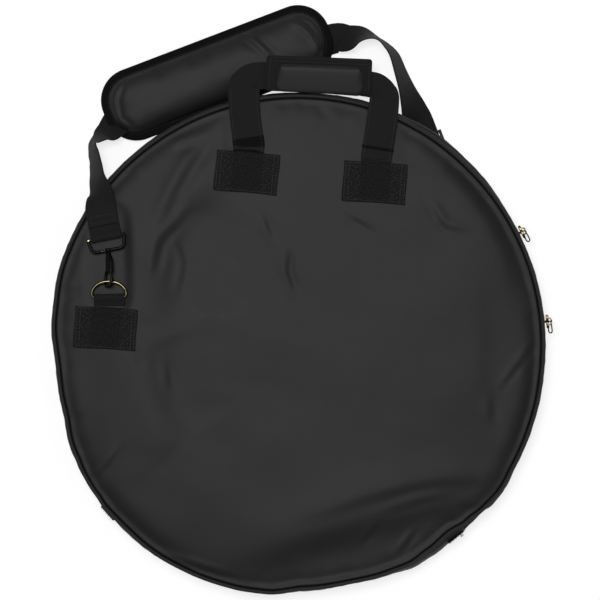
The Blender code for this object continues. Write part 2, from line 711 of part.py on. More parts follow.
def build_slider(name, angle, body):
    """One zip slider: outer plate and bridge, post between the chains, inner plate, and its wire pull."""
    turn = Matrix.Rotation(math.radians(angle), 4, "Z")
    inner_face = CHAIN_RING + CHAIN_RADIUS + SLIDER_CLEARANCE
    plate_mid = inner_face + SLIDER_PLATE / 2
    outer_face = inner_face + SLIDER_PLATE
    tape_inside = TAPE_RADIUS - TAPE_THICKNESS / 2 - FIT_GAP * 2
    at = Matrix.Translation
    slider = block(name, (SLIDER_PLATE, SLIDER_LENGTH, SLIDER_HEIGHT), turn @ at((plate_mid, 0, ZIP_Z)))
    edge = slider.modifiers.new("edge", "BEVEL")
    edge.width = SLIDER_PLATE * 0.35
    edge.segments = 2
    post_from = tape_inside - SLIDER_INNER_PLATE / 2
    post = (plate_mid - post_from, SLIDER_POST_LENGTH, SLIDER_POST_HEIGHT)
    boolean(slider, block(name + "_post", post, turn @ at(((plate_mid + post_from) / 2, 0, ZIP_Z))), "UNION")
    inner = (SLIDER_INNER_PLATE, SLIDER_LENGTH * 0.9, SLIDER_HEIGHT * 0.9)
    inner_place = turn @ at((tape_inside - SLIDER_INNER_PLATE / 2, 0, ZIP_Z))
    boolean(slider, block(name + "_inner", inner, inner_place), "UNION")
    bridge_from = plate_mid
    bridge_to = outer_face + BRIDGE_REACH
    bridge = (bridge_to - bridge_from, BRIDGE_LENGTH, BRIDGE_HEIGHT)
    bridge_place = turn @ at(((bridge_from + bridge_to) / 2, 0, ZIP_Z))
    boolean(slider, block(name + "_bridge", bridge, bridge_place), "UNION")
    hole_from = outer_face + FIT_GAP
    hole_to = bridge_to - BRIDGE_BAR
    hole = (hole_to - hole_from, BRIDGE_HOLE_LENGTH, BRIDGE_HEIGHT + 2 * CUT_OVERRUN)
    boolean(slider, block(name + "_hole", hole, turn @ at(((hole_from + hole_to) / 2, 0, ZIP_Z))), "DIFFERENCE")
    finish(slider, METAL, body)

    pull_x = (hole_from + hole_to) / 2
    axis = turn @ Vector((pull_x, 0, ZIP_Z))
    pull_body = pivot(name + "_pull_axis", axis, body)
    lean = turn @ at((pull_x, 0, ZIP_Z)) @ Matrix.Rotation(math.radians(PULL_LEAN_ANGLE - 90), 4, "Z")
    half = PULL_WIDTH / 2 - PULL_WIRE
    far = PULL_LENGTH - 2 * PULL_WIRE
    corner = PULL_WIRE * 2
    loop = rounded_outline(far / 2, half, corner, 3)
    points = [lean @ Vector((x + far / 2, 0, z)) for x, z in loop]
    finish(wire(name + "_pull", points, PULL_WIRE, cyclic=True, sides=1), METAL, pull_body)


def handle_stations(height_at, hinge_y, forward, rest_z):
    """The loop of a handle from one hinge to the other, leaning out, round the corner and across the grip."""
    side_x = PATCH_CENTRE_X
    lean_x = side_x + HANDLE_LEAN
    top = hinge_y + forward * HANDLE_REACH
    corner = HANDLE_CORNER
    half = [
        (side_x, hinge_y, height_at(side_x, hinge_y)),
        (side_x + HANDLE_LEAN / 2, hinge_y + forward * HANDLE_REACH * 0.28, rest_z[0]),
        (lean_x, hinge_y + forward * HANDLE_REACH * 0.52, rest_z[1]),
        (lean_x, top - forward * corner * 1.1, rest_z[2]),
        (lean_x - corner * 0.2, top - forward * corner * 0.55, rest_z[3]),
        (lean_x - corner * 0.55, top - forward * corner * 0.17, rest_z[4]),
        (lean_x - corner * 1.1, top, rest_z[4]),
        (lean_x - corner * 1.8, top, rest_z[4]),
    ]
    mirrored = [(-x, y, z) for x, y, z in half]
    return [(*p, 0) for p in half + mirrored[::-1]]


def build_front_handle():
    """Patches on the lid, and the loop with its two-part padded grip."""
    for side, sign in (("right", 1), ("left", -1)):
        name = "front_handle_patch_" + side
        centre = (sign * PATCH_CENTRE_X, PATCH_CENTRE_Y)
        draped_patch(name, centre, PATCH_SIZE, front_height, 1, PATCH, LID)
    over = SEAT_GAP + WEBBING_THICKNESS / 2
    lift_y = HANDLE_HINGE_Y + HANDLE_REACH * 0.28
    heights = (
        front_height(PATCH_CENTRE_X, lift_y) + over * 1.5,
        HANDLE_RIM_Z,
        HANDLE_GRIP_Z + (HANDLE_RIM_Z - HANDLE_GRIP_Z) * 0.45,
        HANDLE_GRIP_Z,
        HANDLE_GRIP_Z,
    )
    hinge_z = front_height(PATCH_CENTRE_X, HANDLE_HINGE_Y) + over
    body = pivot("front_handle_axis", (0, HANDLE_HINGE_Y, hinge_z), LID)
    stations = handle_stations(lambda x, y: front_height(x, y) + over, HANDLE_HINGE_Y, 1, heights)
    webbing("front_handle_webbing", stations, 2, WEBBING, body)

    gap = SEAT_GAP
    base_top = HANDLE_GRIP_Z - WEBBING_THICKNESS / 2 - gap
    base_low = base_top - GRIP_BASE_THICKNESS
    half_x, half_y = GRIP_LENGTH / 2, GRIP_WIDTH / 2
    place = Matrix.Translation((0, GRIP_CENTRE_Y, 0))
    corner = GRIP_WIDTH / 6
    thick = GRIP_BASE_THICKNESS
    base_layers = (
        (half_x - thick * 0.9, half_y - thick * 0.9, corner, base_low, 0, 0),
        (half_x - thick * 0.35, half_y - thick * 0.35, corner, base_low + thick * 0.2, 0, 0),
        (half_x, half_y, corner, base_low + thick * 0.6, 0, 0),
        (half_x, half_y, corner, base_top, 0, 0),
    )
    layered("grip_base", base_layers, place, FABRIC, body, corner_steps=3)
    flap_low = HANDLE_GRIP_Z + WEBBING_THICKNESS / 2 + gap
    flap_body = pivot("grip_flap_axis", (0, GRIP_CENTRE_Y + half_y, HANDLE_GRIP_Z), body)
    lip_top = flap_low + GRIP_LIP_THICKNESS
    crest = flap_low + GRIP_FLAP_THICKNESS
    panel_x, panel_y = GRIP_PANEL_SIZE[0] / 2, GRIP_PANEL_SIZE[1] / 2
    shift = -GRIP_PANEL_SHIFT
    rise = crest - lip_top
    flap_layers = (
        (half_x, half_y, corner, flap_low, 0, 0),
        (half_x, half_y, corner, lip_top - GRIP_LIP_THICKNESS * 0.3, 0, 0),
        (half_x - GRIP_LIP_THICKNESS * 0.4, half_y - GRIP_LIP_THICKNESS * 0.4, corner, lip_top, 0, 0),
        (panel_x, panel_y, corner, lip_top + rise * 0.05, 0, shift),
        (panel_x - rise * 0.2, panel_y - rise * 0.2, corner, lip_top + rise * 0.55, 0, shift),
        (panel_x - rise * 0.7, panel_y - rise * 0.7, corner, lip_top + rise * 0.9, 0, shift),
        (panel_x - rise * 1.3, panel_y - rise * 1.3, corner, crest, 0, shift),
    )
    layered("grip_flap", flap_layers, place, FABRIC, flap_body, corner_steps=3)
    strip = (CLOSURE_LENGTH, CLOSURE_WIDTH, CLOSURE_THICKNESS)
    strip_y = GRIP_CENTRE_Y - half_y + CLOSURE_INSET + CLOSURE_WIDTH / 2
    at = Matrix.Translation
    loop_z = base_top + FIT_GAP + CLOSURE_THICKNESS / 2
    finish(block("grip_velcro_loop", strip, at((0, strip_y, loop_z))), PATCH, body)
    hook_z = flap_low - FIT_GAP - CLOSURE_THICKNESS / 2
    finish(block("grip_velcro_hook", strip, at((0, strip_y, hook_z))), PATCH, flap_body)


def build_back_handle():
    """Patches under the back panel, and the plain loop folded in under the bag."""
    for side, sign in (("right", 1), ("left", -1)):
        name = "back_handle_patch_" + side
        centre = (sign * PATCH_CENTRE_X, PATCH_CENTRE_Y)
        draped_patch(name, centre, PATCH_SIZE, lambda x, y: HANDLE_HOLLOW_DEPTH, -1, PATCH)
    body = pivot("back_handle_axis", (0, HANDLE_HINGE_Y, BACK_HANDLE_Z))
    heights = (BACK_HANDLE_Z,) * 5
    stations = handle_stations(lambda x, y: BACK_HANDLE_Z, HANDLE_HINGE_Y, -1, heights)
    webbing("back_handle_webbing", stations, 2, WEBBING, body)


def folded_webbing(name, bar_gap, legs, width, thickness, place, parent=None):
    """Webbing folded round a bar at the place's origin, its two legs running along -X to be sewn together."""
    lower, upper = legs
    radius = bar_gap + thickness / 2
    arc = [math.radians(-90 + 180 * n / 8) for n in range(9)]
    settle = thickness + SEAT_GAP
    profile = [(-lower, -radius), (-radius, -radius)]
    profile += [(radius * math.cos(a), radius * math.sin(a)) for a in arc]
    profile += [(-radius, radius * 0.9), (-upper, -radius + settle)]
    bm = bmesh.new()
    chain = [bm.verts.new((x, -width / 2, z)) for x, z in profile]
    edges = [bm.edges.new(pair) for pair in zip(chain, chain[1:])]
    swept = bmesh.ops.extrude_edge_only(bm, edges=edges)
    moved = [item for item in swept["geom"] if isinstance(item, bmesh.types.BMVert)]
    bmesh.ops.translate(bm, verts=moved, vec=(0, width, 0))
    bmesh.ops.transform(bm, matrix=place, verts=bm.verts)
    return thicken(add_mesh(name, bm, WEBBING, parent), thickness, 0)


def build_fixing(side, place, eye_turn, carrier):
    """Patch loop, D-ring and bolt snap hook with its eye and the sewn end of the strap."""
    flip = Matrix.Rotation(math.pi, 4, "Z")
    loop_gap = RING_WIRE + LOOP_INNER_GAP
    legs = (LOOP_LENGTH, LOOP_LENGTH)
    folded_webbing(side + "_ring_loop", loop_gap, legs, LOOP_WIDTH, LOOP_THICKNESS, place, carrier)

    lift = place @ Matrix.Rotation(math.radians(-RING_LIFT_ANGLE), 4, "Y")
    ring_body = pivot(side + "_ring_axis", place.translation, carrier)
    straight = RING_HALF_WIDTH - RING_CORNER
    turn = RING_CORNER * 0.3
    points = [Vector((0, -straight + straight * n, 0)) for n in range(3)]
    points += [Vector((turn, RING_HALF_WIDTH - turn, 0)), Vector((RING_CORNER, RING_HALF_WIDTH, 0))]
    arc = [math.radians(90 - 180 * n / 16) for n in range(17)]
    bow = RING_DEPTH - RING_SIDE
    points += [Vector((RING_SIDE + bow * math.cos(a), RING_HALF_WIDTH * math.sin(a), 0)) for a in arc]
    points += [Vector((RING_CORNER, -RING_HALF_WIDTH, 0)), Vector((turn, -RING_HALF_WIDTH + turn, 0))]
    points = [lift @ p for p in points]
    finish(wire(side + "_d_ring", points, RING_WIRE, cyclic=True, sides=1), METAL, ring_body)

    line = hook_line(place)
    rolled = line @ Matrix.Rotation(math.radians(-HOOK_ROLL), 4, "X")
    hook_body = pivot(side + "_hook_axis", line @ Vector((BOSS_CENTRE, 0, 0)), carrier)
    half = CLAW_HALF_WIDTH
    corner = CLAW_CORNER
    bend = [math.radians(90 + 90 * n / 4) for n in range(5)]
    claw = [(BODY_START + CLAW_WIRE, half * 0.5), (BODY_START - CLAW_WIRE, half * 0.86), (CLAW_TIP, half)]
    low = CLAW_END + corner
    claw += [(low + corner * math.cos(a), half - corner + corner * math.sin(a)) for a in bend]
    claw += [(low + corner * math.cos(a), corner - half - corner * math.sin(a)) for a in bend[::-1]]
    claw += [(CLAW_TIP, -half)]
    claw = wire(side + "_hook_claw", [Vector((x, y, 0)) for x, y in claw], CLAW_WIRE, sides=2)
    claw.matrix_world = rolled
    claw = apply_modifiers(claw)
    turned = rolled @ Matrix.Rotation(math.radians(90), 4, "Y")
    half_w, half_t = BODY_SIZE[0] / 2, BODY_SIZE[1] / 2
    body_layers = (
        (half_t * 0.8, half_w * 0.92, half_t, BODY_START, 0, -BODY_OFFSET),
        (half_t, half_w, half_t, BODY_START + CLAW_WIRE / 2, 0, -BODY_OFFSET),
        (half_t, half_w, half_t, BODY_END - CLAW_WIRE, 0, -BODY_OFFSET),
        (half_t * 0.9, half_w * 0.8, half_t * 0.9, BODY_END, 0, -BODY_OFFSET * 0.7),
        (NECK_RADIUS, NECK_RADIUS, NECK_RADIUS, NECK_END, 0, 0),
    )
    hook = layered(side + "_snap_hook", body_layers, turned, METAL, hook_body, corner_steps=4)
    boolean(hook, claw, "UNION")
    head_from = BOSS_CENTRE + BOSS_LENGTH / 2 + BOSS_CLEARANCE
    boolean(hook, rod(side + "_stud", STUD_RADIUS, NECK_END - CLAW_WIRE, head_from + CUT_OVERRUN / 2, line), "UNION")
    head_to = head_from + STUD_HEAD_LENGTH
    boolean(hook, rod(side + "_stud_head", STUD_HEAD_RADIUS, head_from, head_to, line), "UNION")
    bolt_line = rolled @ Matrix.Translation((0, -BOLT_OFFSET, 0))
    tip = CLAW_TIP + BOLT_TIP_GAP
    bolt_end = tip + BOLT_LENGTH
    bore_end = bolt_end + BOLT_TRAVEL + SPRING_WIRE * 8
    boolean(hook, rod(side + "_bore", BOLT_BORE_RADIUS, BODY_START - CUT_OVERRUN, bore_end, bolt_line), "DIFFERENCE")
    slot_from = KNOB_POSITION - KNOB_RADIUS - SEAT_GAP
    slot_to = KNOB_POSITION + KNOB_RADIUS + BOLT_TRAVEL + SEAT_GAP
    slot_size = (slot_to - slot_from, BODY_SIZE[0], 2 * SLOT_HALF_WIDTH)
    slot_place = bolt_line @ Matrix.Translation(((slot_from + slot_to) / 2, -BODY_SIZE[0] / 2, 0))
    boolean(hook, block(side + "_slot", slot_size, slot_place), "DIFFERENCE")

    bolt_body = pivot(side + "_bolt_axis", bolt_line @ Vector((tip, 0, 0)), hook_body)
    bolt = rod(side + "_hook_bolt", BOLT_RADIUS, tip, bolt_end, bolt_line, sides=12)
    out = bolt_line @ Matrix.Translation((KNOB_POSITION, 0, 0)) @ Matrix.Rotation(math.radians(-90), 4, "Z")
    boolean(bolt, rod(side + "_knob", KNOB_RADIUS, 0, KNOB_REACH, out, sides=12), "UNION")
    finish(bolt, METAL, bolt_body)
    spring_from = bolt_end + FIT_GAP + SPRING_WIRE
    spring_to = bore_end - FIT_GAP - SPRING_WIRE
    turns = SPRING_TURNS * 8
    coil = []
    for n in range(turns + 1):
        angle = math.tau * n / 8
        x = spring_from + (spring_to - spring_from) * n / turns
        coil.append(Vector((x, SPRING_COIL_RADIUS * math.cos(angle), SPRING_COIL_RADIUS * math.sin(angle))))
    coil = [bolt_line @ p for p in coil]
    finish(wire(side + "_hook_spring", coil, SPRING_WIRE, sides=0), STEEL, hook_body)

    eye_place = eye_line(place, eye_turn)
    near, far, depth = EYE_NEAR_HALF_WIDTH, EYE_FAR_HALF_WIDTH, EYE_DEPTH
    bend, corner = EYE_WIRE * 1.6, EYE_NEAR_CORNER
    frame = (
        (0, -near + corner, 0), (0, 0, 0), (0, near - corner, 0), (corner * 0.3, near - corner * 0.3, 0),
        (corner, near, 0),
        (depth - bend, far - bend * 0.3, 0), (depth - bend * 0.3, far - bend * 0.35, 0), (depth, far - bend, 0),
        (depth, far / 2, 0), (depth, 0, 0), (depth, -far / 2, 0), (depth, -far + bend, 0),
        (depth - bend * 0.3, -far + bend * 0.35, 0), (depth - bend, -far + bend * 0.3, 0), (corner, -near, 0),
        (corner * 0.3, -near + corner * 0.3, 0),
    )
    eye = wire(side + "_swivel_eye", [eye_place @ Vector(p) for p in frame], EYE_WIRE, cyclic=True, sides=2)
    eye = apply_modifiers(eye)
    half_boss = BOSS_LENGTH / 2
    boss_line = line @ Matrix.Translation((BOSS_CENTRE, 0, 0))
    boolean(eye, rod(side + "_boss", BOSS_RADIUS, -half_boss, half_boss, boss_line, sides=20), "UNION")
    bore = rod(
        side + "_boss_bore", STUD_RADIUS + BOSS_CLEARANCE, -half_boss - CUT_OVERRUN, half_boss + CUT_OVERRUN, boss_line
    )
    boolean(eye, bore, "DIFFERENCE")
    finish(eye, METAL, carrier)
    settle = Matrix.Rotation(math.radians(-FOLD_LIFT_ANGLE), 4, "Y")
    fold_place = eye_place @ Matrix.Translation((EYE_DEPTH, 0, 0)) @ settle @ flip
    fold_gap = EYE_WIRE + FOLD_INNER_GAP
    legs = (FOLD_LOWER_LEG, FOLD_UPPER_LEG)
    folded_webbing(side + "_strap_fold", fold_gap, legs, WEBBING_WIDTH, WEBBING_THICKNESS, fold_place, carrier)
    return fold_place


def strap_start(fold_place):
    """Stations where the strap lies on its sewn end, from the upper leg to just past the lower one."""
    radius = EYE_WIRE + FOLD_INNER_GAP + WEBBING_THICKNESS / 2
    height = -radius + WEBBING_THICKNESS + SEAT_GAP * 1.5
    start = FOLD_UPPER_LEG + SEAT_GAP * 2
    end = FOLD_LOWER_LEG + WEBBING_THICKNESS * 2
    runs = (start, (start + end) / 2, end, end + WEBBING_THICKNESS * 3)
    tilt = math.degrees(math.asin((fold_place.to_3x3() @ Vector((0, 1, 0))).z))
    return [(*(fold_place @ Vector((-run, 0, height))), tilt) for run in runs]


def pad_point(along, across, height):
    """A place given along the pad's run and out from the bag's axis."""
    angle = math.radians(PAD_ANGLE)
    x = along * math.cos(angle) - across * math.sin(angle)
    y = along * math.sin(angle) + across * math.cos(angle)
    return Vector((x, y, height))


def build_strap(front_fold, back_fold):
    """The strap in its front run and its run under the pad and the bag."""
    across = PAD_ACROSS + STRAP_PAD_OFFSET
    left = pad_point(PAD_ALONG - SLEEVE_LENGTH * 0.62, across, STRAP_PAD_Z)
    middle = pad_point(PAD_ALONG, across, STRAP_PAD_Z)
    right = pad_point(PAD_ALONG + SLEEVE_LENGTH * 0.7, across, STRAP_PAD_Z)
    stations = strap_start(front_fold)
    stations += [route_station(*station) for station in STRAP_FRONT_SHARES]
    run = (left - middle).normalized()
    stations += [(*(left + run * away), 0) for away in (WEBBING_WIDTH / 3, WEBBING_WIDTH / 6, SEAT_GAP * 2)]
    webbing("strap_webbing_front", stations, 3, WEBBING, LID)

    stations = [(*left, 0), (*middle, 0), (*right, 0)]
    stations += [route_station(*station) for station in STRAP_RIGHT_SHARES] + STRAP_UNDER
    stations += strap_start(back_fold)[::-1]
    webbing("strap_webbing_back", stations, 3, WEBBING)


def build_pad():
    """The shoulder pad with its binding and the sleeve that runs on the strap."""
    turn = Matrix.Rotation(math.radians(PAD_ANGLE), 4, "Z")
    place = Matrix.Translation(pad_point(PAD_ALONG, PAD_ACROSS, 0)) @ turn
    body = pivot("pad_axis", pad_point(PAD_ALONG, PAD_ACROSS, PAD_UNDERSIDE))
    half_x, half_y, corner = PAD_LENGTH / 2, PAD_WIDTH / 2, PAD_CORNER
    inset = BINDING_WIDTH
    rise = PAD_THICKNESS
    base = PAD_UNDERSIDE
    steps = (
        (inset * 1.3, 0), (inset, 0.08), (inset, 0.24), (inset * 1.7, 0.55), (inset * 2.7, 0.8), (inset * 4, 0.94),
        (inset * 5.4, 1.0),
    )
    layers = [(half_x - i, half_y - i, corner - i, base + rise * share, 0, 0) for i, share in steps]
    layered("shoulder_pad", layers, place, FABRIC, body, corner_steps=5)
    mid = inset - BINDING_RADIUS - SEAT_GAP
    outline = rounded_outline(half_x - mid + BINDING_RADIUS * 0.2, half_y - mid + BINDING_RADIUS * 0.2, corner - mid, 7)
    points = [place @ Vector((x, y, base + BINDING_RADIUS)) for x, y in outline]
    finish(wire("pad_binding", points, BINDING_RADIUS, cyclic=True, sides=1), CORD, body)

    bm = bmesh.new()
    half_w = SLEEVE_WIDTH / 2
    top = base - SLEEVE_THICKNESS - FIT_GAP
    floor_z = SLEEVE_FLOOR_Z
    shift = STRAP_PAD_OFFSET
    profile = ((-half_w, top), (-half_w + STRAP_PAD_Z * 0.8, floor_z), (half_w - STRAP_PAD_Z * 0.8, floor_z), (half_w, top))
    chain = [bm.verts.new((-SLEEVE_LENGTH / 2, y + shift, z)) for y, z in profile]
    edges = [bm.edges.new(pair) for pair in zip(chain, chain[1:])]
    swept = bmesh.ops.extrude_edge_only(bm, edges=edges)
    moved = [item for item in swept["geom"] if isinstance(item, bmesh.types.BMVert)]
    bmesh.ops.translate(bm, verts=moved, vec=(SLEEVE_LENGTH, 0, 0))
    bmesh.ops.transform(bm, matrix=place, verts=bm.verts)
    thicken(add_mesh("pad_sleeve", bm, WEBBING, body), SLEEVE_THICKNESS, 0)


def build_adjuster():
    """The slider that sets the strap's length: a flat frame round the webbing, with its middle bar over it."""
    start = Vector(STRAP_UNDER[0][:2])
    end = Vector(STRAP_UNDER[2][:2])
    centre = start.lerp(end, ADJUSTER_SHARE)
    angle = math.atan2(end.y - start.y, end.x - start.x)
    place = Matrix.Translation((centre.x, centre.y, STRAP_UNDER[0][2])) @ Matrix.Rotation(angle, 4, "Z")
    body = pivot("adjuster_axis", place.translation)
    reach = WEBBING_THICKNESS / 2 + ADJUSTER_GAP
    outer_y = WEBBING_WIDTH + 2 * (ADJUSTER_GAP + ADJUSTER_SIDE)
    tall = 2 * (reach + ADJUSTER_BAR)
    frame = block("length_adjuster", (ADJUSTER_LENGTH, outer_y, tall), place)
    window = (ADJUSTER_LENGTH + 2 * CUT_OVERRUN, WEBBING_WIDTH + 2 * ADJUSTER_GAP, 2 * reach)
    boolean(frame, block("adjuster_window", window, place), "DIFFERENCE")
    clear_y = WEBBING_WIDTH + 2 * (ADJUSTER_GAP + FIT_GAP)
    clear = (ADJUSTER_LENGTH - 2 * ADJUSTER_SIDE, clear_y, ADJUSTER_BAR + CUT_OVERRUN)
    low = -reach - clear[2] / 2 + FIT_GAP
    boolean(frame, block("adjuster_low", clear, place @ Matrix.Translation((0, 0, low))), "DIFFERENCE")
    for end_sign in (-1, 1):
        length = (ADJUSTER_LENGTH - ADJUSTER_SIDE) / 2 + CUT_OVERRUN
        size = (length, clear_y, ADJUSTER_BAR + CUT_OVERRUN)
        shift = end_sign * (ADJUSTER_SIDE + length) / 2
        high = reach + size[2] / 2 - FIT_GAP
        name = "adjuster_high_" + str(end_sign)
        boolean(frame, block(name, size, place @ Matrix.Translation((shift, 0, high))), "DIFFERENCE")
    finish(frame, METAL, body)


for old in list(bpy.data.objects):
    bpy.data.objects.remove(old)
PARTS = bpy.data.collections.new("cymbal_bag")
CUTTERS = bpy.data.collections.new("cutters")
bpy.context.scene.collection.children.link(PARTS)
bpy.context.scene.collection.children.link(CUTTERS)
LID = pivot("lid_axis", (0, FOLD_Y, BAG_DEPTH))

build_shell()
build_zip()
for slider_name, slider_angle in (("upper", UPPER_SLIDER_ANGLE), ("lower", LOWER_SLIDER_ANGLE)):
    carrier_axis = pivot(slider_name + "_slider_axis", (0, 0, ZIP_Z))
    build_slider(slider_name + "_slider", slider_angle, carrier_axis)
build_front_handle()
build_back_handle()
draped_patch("front_ring_patch", (FRONT_PATCH_X, RING_PATCH_Y), RING_PATCH_SIZE, front_height, 1, PATCH, LID)
draped_patch(
    "back_ring_patch", (BACK_RING_X, RING_PATCH_Y), RING_PATCH_SIZE, lambda x, y: FIXING_HOLLOW_DEPTH, -1, PATCH
)
front_fold_place = build_fixing("front", FRONT_PLACE, EYE_TURN_FRONT, LID)
back_fold_place = build_fixing("back", BACK_PLACE, EYE_TURN_BACK, None)
build_pad()
build_strap(front_fold_place, back_fold_place)
build_adjuster()
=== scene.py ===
"""Looks of a soft round cymbal bag lying on its back: cloth, webbing, padding, zip and strap fixings.

Metres, +Z up out of the front panel, +Y towards the handles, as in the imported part.
"""

import json
import math
import random

import bmesh
import bpy
import numpy as np
from mathutils import Matrix, Vector
from mathutils.bvhtree import BVHTree

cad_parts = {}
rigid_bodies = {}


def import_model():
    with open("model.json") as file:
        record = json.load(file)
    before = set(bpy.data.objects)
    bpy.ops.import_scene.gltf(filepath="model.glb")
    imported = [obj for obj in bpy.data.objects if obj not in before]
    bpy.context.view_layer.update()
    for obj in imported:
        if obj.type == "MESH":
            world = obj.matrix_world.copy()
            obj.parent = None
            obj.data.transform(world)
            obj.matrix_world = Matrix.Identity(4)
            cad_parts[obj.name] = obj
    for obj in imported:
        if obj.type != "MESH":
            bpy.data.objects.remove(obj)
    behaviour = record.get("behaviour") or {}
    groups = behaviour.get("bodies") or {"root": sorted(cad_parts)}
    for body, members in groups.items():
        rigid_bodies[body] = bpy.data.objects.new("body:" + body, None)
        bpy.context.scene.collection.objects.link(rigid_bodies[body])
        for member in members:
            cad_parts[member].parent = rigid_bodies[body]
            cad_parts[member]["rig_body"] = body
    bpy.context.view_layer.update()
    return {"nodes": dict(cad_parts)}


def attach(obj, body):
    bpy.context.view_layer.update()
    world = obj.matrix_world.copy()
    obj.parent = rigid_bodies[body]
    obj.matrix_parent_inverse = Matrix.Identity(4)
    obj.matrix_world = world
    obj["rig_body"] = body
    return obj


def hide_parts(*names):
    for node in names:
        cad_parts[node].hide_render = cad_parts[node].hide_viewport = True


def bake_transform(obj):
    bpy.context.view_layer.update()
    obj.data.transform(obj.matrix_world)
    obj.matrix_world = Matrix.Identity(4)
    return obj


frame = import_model()

bl_info = {
    "name": "Round cymbal bag",
    "version": (1, 0, 0),
    "blender": (4, 5, 0),
    "location": "3D View > Sidebar > Cymbal Bag",
    "description": "Dresses the packed cymbal bag in its cloth, webbing, padding and hardware",
    "category": "Add Mesh",
}

# Bag body, as in the part
BAG_DEPTH = 0.052
RIM_RADIUS = 0.303
PIPING_RADIUS = 0.0025
PANEL_RADIUS = RIM_RADIUS - PIPING_RADIUS - 0.0008
PANEL_THICKNESS = 0.0036
CROWN_FLAT_RADIUS = RIM_RADIUS * 0.495
CROWN_RISE = 0.008
CROWN_POWER = 2.5
PIPING_Z = CROWN_RISE + PIPING_RADIUS / 2
GUSSET_BULGE = 0.0045
ZIP_END_ANGLE = 43.0
ZIP_Z = BAG_DEPTH / 2
SEAM_TURNING = 0.002
THREAD_HALF_WIDTH = 0.00028
THREAD_HALF_HEIGHT = 0.00024
TAPE_RADIUS = RIM_RADIUS + 0.0014
TAPE_WIDTH = 0.0074
TAPE_THICKNESS = 0.0008
TAPE_SEAM_INSET = 0.0012
TAPE_SEAM_RISE = 0.0020
CHAIN_RING = 0.3062
CHAIN_GAP = 0.0018
CHAIN_RADIUS = 0.0011
TOOTH_PITCH = 0.0021
TOOTH_BEVEL = 0.00028
TAB_LENGTH_ANGLE = 4.3
TAB_GAP_ANGLE = 0.9
TAB_WIDTH = 0.022
TAB_RISE = 0.0018
TAB_SINK = 0.002
TAB_SWELL_SHARE = 0.85
TAB_THICKNESS = 0.0013
TAB_SEAM_INSET = 0.0018
# Where the sliders stand with the zip fully open, at its two ends
PARKED_ANGLES = (219.2, 319.8)
# How far the zip runs true there, in degrees and in height, and how softly it leaves its true run
PARKED_REACH = 2.2
PARKED_FADE = 3.2
PARKED_HEIGHT = 0.009
PARKED_HEIGHT_FADE = 0.012
# Slider: plate in front of the chain, plate behind it, post between them and bridge over the front plate.
# Half of the bridge's line is given, as places along the zip and out.
PLATE_SIZE = (0.0030, 0.0170, 0.0100)
PLATE_INNER = CHAIN_RADIUS + 0.0008
PLATE_BOW = 0.0003
BACK_PLATE_SIZE = (0.0015, 0.0150, 0.0088)
BACK_PLATE_X = -0.0036
POST_SIZE = (0.0062, 0.0030, 0.0012)
POST_X = -0.0006
BRIDGE_HALF_LINE = ((-0.0048, -0.0008), (-0.0044, 0.0012), (-0.0034, 0.0034), (-0.0014, 0.0043))
BRIDGE_LIFT = 0.0022
BRIDGE_HALF_WIDTH = 0.0022
BRIDGE_HALF_THICKNESS = 0.0009
# Wire pull
HOOP_PIN_X = CHAIN_RADIUS + 0.00465
HOOP_ROLL = 42.0
HOOP_LEAN = 2.0
HOOP_LENGTH = 0.0144
HOOP_HALF_WIDTH = 0.0036
HOOP_CORNER = 0.0030
HOOP_WIRE = 0.0008
UPPER_SLIDER_ANGLE = 31.2
LOWER_SLIDER_ANGLE = 9.8

# Handles
WEBBING_WIDTH = 0.038
WEBBING_THICKNESS = 0.0016
PATCH_SIZE = (0.078, 0.050)
PATCH_THICKNESS = 0.0014
# How far a patch's sides waver, its rolled edge, its doubled turning, and its rise over the webbing beneath
PATCH_WAVER = 0.0004
PATCH_EDGE_ROLL = 0.0012
PATCH_EDGE_HEIGHT = 0.0006
PATCH_TURNING = 0.006
PATCH_TURNING_HEIGHT = 0.0004
PATCH_OVER_WEBBING = 0.0009
PATCH_SEAM_INSET = 0.0022
PATCH_SEAM_GAP = 0.0045
PATCH_CENTRE = (RIM_RADIUS * 0.2594, RIM_RADIUS - 0.097)
SEAT_GAP = 0.0004
HANDLE_HINGE_Y = PATCH_CENTRE[1] + PATCH_SIZE[1] / 2 + 0.0034
HANDLE_REACH = 0.1006
HANDLE_LEAN = 0.004
HANDLE_CORNER = 0.026
# How far the front handle runs straight from its hinge, and its seams' place in from the webbing's edges
HANDLE_STRAIGHT = 0.006
HANDLE_SEAM_INSET = 0.003
# Right side, then left: lean outwards, the inner corner that the webbing fans round, and the webbing's width
# there as a share of its own
FRONT_HANDLE_SIDES = (
    (1, 0.0040, (0.0640, 0.3095), (0.96, 0.91, 0.87, 0.85, 0.84)),
    (-1, 0.0114, (0.0705, 0.3090), (1.02, 0.98, 0.93, 0.89, 0.88)),
)
# Dark band across the webbing above each patch, a sheet put there as painted shade: where it starts and ends
# up the handle, right and left
HANDLE_SHADE_BANDS = ((0.0110, 0.0160), (0.0030, 0.0150))
BAND_EXTRA_WIDTH = 0.0008
BAND_EXTRA_THICKNESS = 0.0004
ANCHOR_RISE = 0.0010
ANCHOR_THICKNESS = 0.0012
HANDLE_GRIP_Z = 0.04315
HANDLE_RIM_Z = 0.0478
HANDLE_HOLLOW_DEPTH = 0.0044
BACK_HANDLE_Z = 0.0014
GRIP_LENGTH = 0.130
GRIP_CENTRE_Y = RIM_RADIUS + 0.0295
GRIP_BASE_THICKNESS = 0.010
GRIP_FLAP_THICKNESS = 0.0105
GRIP_LIP_THICKNESS = 0.0025
GRIP_PANEL_SIZE = (0.108, 0.032)
GRIP_TURN = 2.2
GRIP_CORNER = 0.046 / 12
# The cushion's layers: inset and height, as shares of its thickness
GRIP_BASE_LAYERS = ((1.0, 0.0), (0.55, 0.08), (0.2, 0.3), (0.05, 0.6), (0.0, 0.85), (0.04, 1.0))
